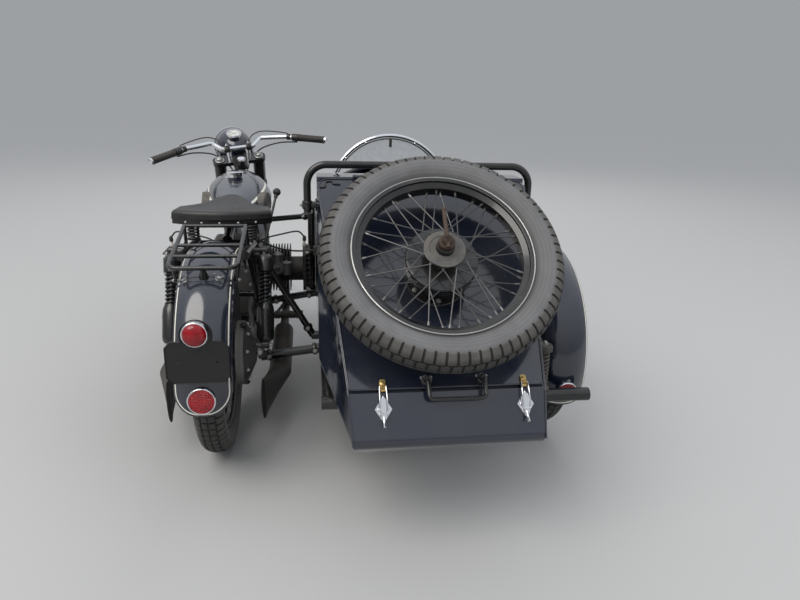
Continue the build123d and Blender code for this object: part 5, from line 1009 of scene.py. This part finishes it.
# Sidecar body: welded sheet steel in navy gloss. A padded roll runs round the cockpit, a folded bead
# stands along each edge of the tail, and a ribbed rubber mat lies on the floor.
def slab(low, high, edge):
    """A block with its upper and lower edges bevelled: four rings of four corners."""
    low, high = np.asarray(low, float), np.asarray(high, float)
    rings = []
    for z, inset in ((low[2], edge), (low[2] + edge, 0), (high[2] - edge, 0), (high[2], edge)):
        a, b = low + inset, high - inset
        rings.append([(a[0], a[1], z), (b[0], a[1], z), (b[0], b[1], z), (a[0], b[1], z)])
    return skin(rings)


def tail_half(y):
    """Half the body's width, which narrows behind its widest point."""
    return 335 - 80 * np.clip((-100 - y) / 620, 0, 1)


LID_LENGTH = math.hypot(510, 485)
dress(navy, "sidecar_body", "trunk_lid")
edge_y, front_x = np.linspace(112, 676, 40), np.linspace(378, 982, 60)
roll_route = np.vstack([
    points(362, edge_y, 1300), points(front_x, 709, 1300), points(998, edge_y[::-1], 1300)])
spots, out = onto("sidecar_body", roll_route, -Z)
roll_leather = grained("trim_leather", (0.008, 0.008, 0.0085), 0.42, 0.35, 520.0, 0.4)
piece("cockpit_roll", "root", {roll_leather: [ribbon(smooth(spots, 3), smooth(out, 12), bead(8.5))]})
panel_top = on_lid((0, LID_LENGTH + 5, 0))
panel_down = unit((0, -692, 345) - panel_top)
PANEL_AXES = np.array([X, panel_down, (0, panel_down[2], -panel_down[1])])
on_panel = laid(panel_top, PANEL_AXES)  # x, distance down the tail panel from its top, height above it
side_run = np.vstack([
    on_lid(*points(0, np.linspace(20, LID_LENGTH, 50), -1)),
    on_panel(*points(0, np.linspace(4, 141, 22), 0)),
])
ahead = unit(np.gradient(side_run, axis=0))
body_beads = []
for side in (-1, 1):
    edge = side_run + points(MIDDLE + side * (tail_half(side_run[:, 1]) - 0.6), 0, 0)
    body_beads.append(ribbon(smooth(edge, 2), points(side, ahead[:, 2], -ahead[:, 1]), bead(2.6)))
piece("body_edge_beads", "root", {navy: body_beads})
rib_ends = [[(410, y, z), (950, y, z)] for y, z in ((0, 313.4), (0, 315.4), (5, 315.4), (5, 313.4))]
ribs = [skin(np.transpose(rib_ends, (1, 0, 2)) + (0, 556 + 12.6 * k, 0)) for k in range(30)]
piece("floor_mat", "root", {rubber: [slab((402, 548, 311.2), (958, 936, 313.6), 0.6)] + ribs})
spots, out = onto("sidecar_body", [(x, 28, 1300) for x in (420, 540, 820, 940)] + [(410, -60, 1300)], -Z)
tonneau_studs = lathe(head, spots[:4] - out[:4] * 0.3, out[:4], 14)
knob = lathe([(0, 1), (0, 11), (3, 12), (7, 8), (8, 1)], spots[4:], out[4:], 20)
piece("body_studs", "root", {chrome: [tonneau_studs, knob]})


# Trunk lid: a pressed panel with a rolled edge, two hinges along its top and a bent wire stay beside
# them. A round-bar handle hangs from two lugs at its lower edge, between two snap latches.
def rounded(corners, reaches, count=8):
    """A closed path whose corners are quadratic curves, P = (1-t)^2 A + 2t(1-t) C + t^2 B."""
    t = np.linspace(0, 1, count)[:, None]
    ahead = unit(np.roll(corners, -1, 0) - corners)
    bends = []
    for corner, before, after, reach in zip(corners, np.roll(ahead, 1, 0), ahead, reaches):
        a, b = corner - before * reach, corner + after * reach
        bends.append((1 - t) ** 2 * a + 2 * t * (1 - t) * corner + t**2 * b)
    bends = np.array(bends)
    gaps = np.roll(bends, -1, 0)[:, :1] - bends[:, -1:]
    runs = bends[:, -1:] + np.linspace(0, 1, 14)[1:-1, None] * gaps
    return np.concatenate([bends, runs], 1).reshape(-1, 3)


top_half, low_half, low_edge = 331.2, 265.4, LID_LENGTH - 1.5
lid_corners = on_lid(
    (MIDDLE - top_half, 1.5, 0.2), (MIDDLE + top_half, 1.5, 0.2),
    (MIDDLE + low_half, low_edge, 0.2), (MIDDLE - low_half, low_edge, 0.2))
lid_bead = ribbon(rounded(lid_corners, (36, 36, 14, 14)), LID_OUT, bead(2.3), loop=True)
piece("lid_edge", "trunk_lid", {navy: [lid_bead]})
dress(black, "lid_handle")
lug_x, lug = (622, 774), [(0, 1), (0, 15), (5, 15), (9, 10), (20, 8.4), (22, 6.2)]
lid_bolts = [(x + dx, LID_LENGTH - 30, 0.2) for x in lug_x for dx in (-12, 12)]
lid_bolts += [(x + dx, 22, 5) for x in (490, 870) for dx in (-10, 10)]
stay = on_lid((350, 35, 3), (370, 33, 3), (374, 14, 3), (393, 12, 3), (396, 21, 3), (418, 23, 3))
piece(
    "lid_fittings", "trunk_lid",
    {black: [lathe(lug, on_lid(*((x, LID_LENGTH - 22, 0.4) for x in lug_x)), LID_OUT, 24)],
     blackened: [hose(stay, 2.2, 8)], zinc: [lathe(head, on_lid(*lid_bolts), LID_OUT, 12)]},
)
brass = finish("worn_brass", (0.52, 0.36, 0.13), 0.3, metal=1.0, dust=0.35, scale=40.0, grain=0.2)
dress(chrome, "latch_plates")
dress(brass, "lid_tongues")
latch_chrome, latch_brass = [], []
latch_rivet = [(0, 0.5), (0, 2.6), (1, 2.3), (1.6, 1.2), (1.8, 0.4)]
for x in (503, 888):
    rivets = on_panel((x - 14, 46, 4.3), (x + 14, 46, 4.3), (x, 15, 4.3), (x, 77, 4.3))
    latch_chrome.append(lathe(latch_rivet, rivets, PANEL_AXES[2], 12))
    for side in (-1, 1):
        bail = on_panel((x + side * 9, 66, 6), (x + side * 10, 42, 14), (x + side * 9.5, 10, 13))
        hook = on_lid((x + side * 8.5, LID_LENGTH - 6, 10))
        latch_chrome.append(hose(np.vstack([bail, hook]), 1.8, 8))
    latch_chrome.append(rods(*on_panel((x - 11, 58, 11), (x + 11, 58, 11)), 3, sides=12))
    latch_chrome.append(hose(on_panel((x, 66, 12), (x, 80, 15), (x, 92, 22)), 4.2, 12))
    button = on_lid((x, LID_LENGTH - 15, 6.2))
    latch_brass.append(lathe([(0, 1), (0, 7.5), (2.5, 7), (4, 4), (4.4, 1)], button, LID_OUT, 20))
    latch_brass.append(rods(*on_lid((x - 10, LID_LENGTH - 4, 9), (x + 10, LID_LENGTH - 4, 9)), 2.6, sides=12))
piece("latch_levers", "root", {chrome: latch_chrome})
piece("lid_tongue_hooks", "trunk_lid", {brass: latch_brass})


# Spare wheel carrier: a black pressed cone bolted on the lid. Its stud comes through the hub and a
# rusty winged nut holds the wheel, whose outer hub plate is grey with road dust.
rust = finish(
    "rusty_steel", (0.055, 0.034, 0.024), 0.6, metal=0.45, dust=0.3, scale=40.0, grain=0.6, size=260.0)
foot = on_lid((MIDDLE, 371, 0))
cone = [(0.3, 1), (0.3, 88), (3, 89), (8, 86), (9, 62), (14, 58), (40, 40), (60, 28), (64.6, 26), (64.6, 1)]
clamp_nut = [
    (186, 11), (186, 21), (189, 22.5), (199, 22.5), (202, 20), (202, 15.5), (212, 14), (216, 10.4), (216, 1)]
stud = [(20, 1), (20, 10), (216, 10), (216, 1)]
wing = on_lid((MIDDLE, 393, 206), (MIDDLE, 375, 209), (MIDDLE, 331, 207), (MIDDLE, 275, 212))
carrier = piece(
    "spare_carrier_cone", "trunk_lid",
    {black: [lathe(cone, foot, LID_OUT, 56)],
     rust: [lathe(clamp_nut, foot, LID_OUT), lathe(stud, foot, LID_OUT, 24), hose(wing, 6.2, 14),
            ball(wing[3], 7.5)],
     zinc: bolts(foot + LID_OUT * 8.2 + ring(6, 74 * X, 74 * LID_DOWN, 30), LID_OUT, 5.5, 6)},
)
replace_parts(carrier, "spare_carrier")
hub_dust = finish("dusty_hub", (0.045, 0.045, 0.046), 0.55, dust=0.7, scale=26.0, grain=0.4, size=300.0)
plate = [
    (-38.3, 25), (-38.3, 57), (-40, 57.6), (-41.2, 55), (-40.6, 50), (-41.6, 48), (-41.6, 42), (-40.4, 40),
    (-41.8, 30), (-43, 25),
]
hub_plate = hollow(plate, centre, X, 56)
piece("spare_hub_plate", "trunk_lid", {hub_dust: [hub_plate]}, place=WHEELS["spare"][1])


# Seat: a sprung cushion and a backrest in black leathercloth, sewn into channels that run front to
# back and upright, full in the middle, drawn in along the seams and piped round the edge.
END = 26  # the radius with which a cushion's ends turn over


def boxed(turn, power):
    """A super-ellipse: cosine and sine, each raised to a power below 1 with its sign kept."""
    return (np.sign(part) * np.abs(part) ** power for part in (np.cos(turn), np.sin(turn)))


def stations(low, high, first, last):
    """Places along a cushion from low to high, close together where an end turns over."""
    over = END * (1 - np.cos(np.linspace(0.25, np.pi / 2, 7)))
    return np.concatenate([[low], low + over, np.linspace(first, last, 80), high - over[::-1], [high]])


def channelled(along, low, high, half, crown, grooves):
    """A stuffed block of boxed section: a super-ellipse across and through, with end radius END, drawn in
    between its corners, and sewn channels that sink the face by d exp(-((x - g) / w)^2). The outline
    is taken at even steps of its length."""
    a, w = boxed(np.linspace(0, 2 * np.pi, 4001), 0.24)
    length = np.concatenate([[0], np.cumsum(np.hypot(np.diff(a) * half, np.diff(w) * 70))])
    even = np.linspace(0, length[-1], 481)[:-1]
    a, w = np.interp(even, length, a), np.interp(even, length, w)
    from_end = np.minimum(along - along[0], along[-1] - along)
    inset = END - np.sqrt(END**2 - np.clip(END - from_end, 0, END) ** 2)
    share = (along - along[0]) / (along[-1] - along[0])
    across = half - 7 * np.sin(np.pi * share) * (1 - 0.3 * np.sin(np.pi * share)) - inset
    middle, thick = (low + high) / 2, (high - low) / 2 - inset * 0.8
    x, along, share = across[:, None] * a, along[:, None], share[:, None]
    depth = sum(np.exp(-(((x - g) / 4.6) ** 2)) for g in grooves)
    pucker = 1 + 0.12 * np.sin(along * 0.21 + x * 0.05)
    face = np.clip((w - 0.55) * 2.4, 0, 1) * np.clip(from_end / 40, 0, 1)[:, None]
    bulge = crown * (np.clip(1 - (x / half) ** 2, 0, 1) * (1 - (2 * share - 1) ** 2) - 1)
    through = middle[:, None] + thick[:, None] * w + face * (bulge - 6.5 * depth * pucker)
    rows = points(x, along, through)
    first, last = (
        [rows[k] * (f, 1, f) + (0, 0, (1 - f) * middle[k]) for f in (0.05, 0.6)] for k in (0, -1))
    return np.concatenate([first, rows, last[::-1]])


seat_along = stations(75, 540, 104, 511)
seat_rows = channelled(seat_along, 311.4, np.full_like(seat_along, 450), 270, 13, range(-216, 217, 48))
back_along = stations(450.4, 919, 479, 890)
front_face = np.interp(back_along, (450, 919), (165, 105))
back_rows = channelled(back_along, 15.4, front_face, 285, 11, range(-240, 241, 48))[:, :, [0, 2, 1]]
cloth = grained("leathercloth", (0.0075, 0.0075, 0.0082), 0.44, 0.25, 560.0, 0.35)
welt_x, welt_y = boxed(2 * np.pi * np.arange(160) / 160, 0.18)
welt_route = points(MIDDLE + 263 * welt_x, 307.5 + 227 * welt_y, 424)
welt = ribbon(welt_route, Z, ring(9, (4.4, 0), (0, 4.4)), loop=True)
for name, rows, extra, node in (
    ("seat_cushion", seat_rows, [welt], "sidecar_seat"),
    ("backrest_cushion", back_rows, [], "sidecar_backrest"),
):
    cushion = piece(name, "root", {cloth: [skin(rows + MIDDLE * X)] + extra}, sharp=60)
    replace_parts(cushion, node)


# Grab rail and windscreen: a hoop of black tube clamped to the body's sides, and a clear arched pane
# in a chromed channel with a dark rubber bead inside it and a strap at its top.
dress(black, "grab_rail")
dress(chrome, "windscreen_rim")
screen_glass = lens_finish("screen_glass", (0.72, 0.78, 0.82), 0.04, 0.85, 0.3, 0)
dress(screen_glass, "windscreen")
rail_band = [(-13, 12.2), (-13, 15.4), (-11, 16.4), (11, 16.4), (13, 15.4), (13, 12.2)]
rail_parts = [
    hollow(rail_band, (1045, -70, 872), Z, 28),
    lathe([(0, 1), (0, 20), (2, 21), (4, 20), (4, 1)], (1015.2, -70, 872), X, 24),
    lathe([(0, 1), (0, 11.6), (2, 11), (3, 8), (3, 1)], (1045, -70, 850.2), -Z, 20)]
rail_nut = bolts((1061.2, -70, 872), X, 5.5, 6)
piece("rail_clamps", "root", {black: both(rail_parts, MIDDLE), zinc: both(rail_nut, MIDDLE)})


def on_arch(radius, y, degrees):
    """Points on a circle about the middle of the windscreen's arch."""
    turn = np.radians(degrees)
    return points(MIDDLE + radius * np.cos(turn), y, 782.4 + radius * np.sin(turn))


arch = np.linspace(24, 156, 90)
screws = lathe(head, on_arch(255, 721, (40, 65, 115, 140)), -Y, 12)
strap = slab((674, 724, 996), (686, 727.3, 1030), 0.6)
piece(
    "screen_bead", "root",
    {rubber: [ribbon(on_arch(249.5, 727.2, arch), -Y, bead(2.6)), strap],
     chrome: [ribbon(on_arch(262.6, 722.2, arch), -Y, bead(2.0)), screws]},
)


# Sidecar chassis: its coil spring stands in pressed cups under a bracket, and each strut is pinned in
# its lugs with a bolt and nut, black enamel all over and dusty low down.
base = np.array((1068.0, -300, 0))
springs = [
    coil(base + 311 * Z, base + 439 * Z, 15.8, 9.5, 4.0),
    lathe([(303, 1), (303, 25), (305, 26), (309, 26), (311, 24), (311, 1)], base, Z),
    lathe([(439, 1), (439, 25), (441, 26), (455, 26), (460, 23), (462, 14), (462, 1)], base, Z),
    slab((992.3, -322, 448), (1078, -278, 456), 1.0), rods(base + 306 * Z, base + 455 * Z, 6, sides=16),
]
spring_nuts = bolts(base + 462 * Z, Z, 8, 8) + bolts([(1006, -300, 456.2), (1030, -300, 456.2)], Z, 5, 5)
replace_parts(piece("sidecar_coils", "root", {dusty: springs, zinc: spring_nuts}), "sidecar_springs")
dress(black, "sidecar_struts")
pin_nuts, collars = [], []
for start, end, near, far, radius in (
    # start, end, how far in the frame's lug and the sidecar's lug are, radius
    ((132, 150, 262), (372, 165, 283.7), 30, 40, 17),
    ((115, 900, 240), (372, 900, 283.7), 40, 62, 17),
    ((105, 310, 662), (328, 300, 283.7), 38, 40, 13),
    ((49.5, 1089, 600), (330, 930, 655), 42, 34, 13),
):
    start, end = np.array((start, end), float)
    along = unit(end - start)
    across = unit(np.cross(along, Z))
    outline = [(-7, 2.2), (-7, 5), (-5, 6), (5, 6), (7, 5), (7, 0.3)] + np.array((0, radius))
    for joint, way in ((start + along * near, along), (end - along * far, -along)):
        collars.append(hollow(outline, joint, way))
        pin_nuts += bolts(joint + across * (radius + 6) * EITHER, across * EITHER, 6, 6)
post_cap = [(0, 1), (0, 18), (3, 19), (8, 17), (11, 10), (16, 9), (22, 9), (24, 6), (24, 1)]
pin_nuts += bolts([(330, 912, 676), (330, 948, 676)], [-Y, Y], 7, 8) + bolts((1212.2, 110, AXLE_Z), X, 13, 10)
piece("strut_collars", "root", {black: collars + [lathe(post_cap, (330, 930, 699.5), Z, 24)], zinc: pin_nuts})


# Lamp wire: a rubber-covered wire, 7 mm thick, that hangs from a clip on the frame to a small block
# on the sidecar's body. It sags a little between the two, as one open spline through its route.
dress(rubber, "wire_clips")
ROUTE = (
    (130, 348, 664), (160, 357, 644), (200, 369, 626), (245, 385, 613), (290, 398, 608), (332.6, 408, 609),
)
line = bpy.data.curves.new("lamp_wire", "CURVE")
line.dimensions = "3D"
line.bevel_depth = 0.0035
line.bevel_resolution = 5
line.use_fill_caps = True
spline = line.splines.new("NURBS")
spline.points.add(len(ROUTE) - 1)
for point, spot in zip(spline.points, ROUTE):
    point.co = (*((spot + ORIGIN) / 1000), 1)
spline.order_u = 3
spline.use_endpoint_u = True
spline.resolution_u = 12
line.materials.append(rubber)
wire = in_scene("lamp_wire", line)
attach(wire, "root")
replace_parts(wire, "sidecar_wire")


# Floor, light and camera: a pale plain floor, soft studio light, and the photograph's viewpoint. The
# world's colour is the floor's where the camera sees it, and a pale sky for everything else.
floor_mesh = bpy.data.meshes.new("floor")
floor_mesh.from_pydata([(-60, -40, 0), (60, -40, 0), (60, 80, 0), (-60, 80, 0)], [], [(0, 1, 2, 3)])
floor = in_scene("floor", floor_mesh)
floor_mesh.materials.append(finish("pale_floor", (0.4, 0.398, 0.392), 0.85, dust=0.0, grain=0.1, size=200.0))
floor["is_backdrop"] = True
world = bpy.data.worlds.new("studio")
world.use_nodes = True
bpy.context.scene.world = world
sky = Nodes(world.node_tree)
up = sky.add("SeparateXYZ", {0: sky.add("TexCoord", {}, out=0)}, out=2)
glow = sky.mix(sky.ramp(up, 0.05, 0.75), (0.4, 0.4, 0.41, 1), (0.86, 0.9, 0.96, 1))
seen = sky.mix(sky.add("LightPath", {}, out=0), glow, (0.337, 0.351, 0.366, 1))
sky.fill(world.node_tree.nodes["Background"], {"Color": seen, "Strength": 1.0})
for name, place, target, size, power, tint in (
    ("key", (-3.4, -3.6, 6.0), (0, 0, 0.4), 5.5, 340, (1.0, 0.96, 0.9)),
    ("fill", (4.8, -4.0, 3.6), (0.2, 0, 0.5), 4.5, 120, (0.9, 0.95, 1.0)),
    ("rim", (1.0, 6.0, 5.5), (0, 0, 0.6), 5.0, 150, (1.0, 0.98, 0.95)),
):
    light = bpy.data.lights.new(name, "AREA")
    light.shape, light.size, light.energy, light.color = "DISK", size, power, tint
    lamp = in_scene(name, light)
    lamp.location = place
    lamp.visible_glossy = name == "key"
    lamp.rotation_euler = (Vector(target) - Vector(place)).to_track_quat("-Z", "Y").to_euler()
yaw, pitch, roll = (math.radians(angle) for angle in (8.38, 17.73, 1.55))
look = Vector((math.sin(yaw) * math.cos(pitch), math.cos(yaw) * math.cos(pitch), -math.sin(pitch)))
level = Vector((math.cos(yaw), -math.sin(yaw), 0))
upright = level.cross(look)
aside = level * math.cos(roll) + upright * math.sin(roll)
upright = -level * math.sin(roll) + upright * math.cos(roll)
eye = bpy.data.cameras.new("camera")
eye.sensor_width = 36
eye.lens = 639.6 / 800 * eye.sensor_width  # a focal length of 639.6 pixels in an image 800 wide
eye.clip_start = 0.05
camera = in_scene("camera", eye)
standpoint = Matrix.Translation((Vector((319, -2140, 1214)) + Vector(ORIGIN)) / 1000)
camera.matrix_world = standpoint @ Matrix((aside, upright, -look)).transposed().to_4x4()
bpy.context.scene.camera = camera
bpy.context.scene.view_settings.view_transform = "Standard"

low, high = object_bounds()
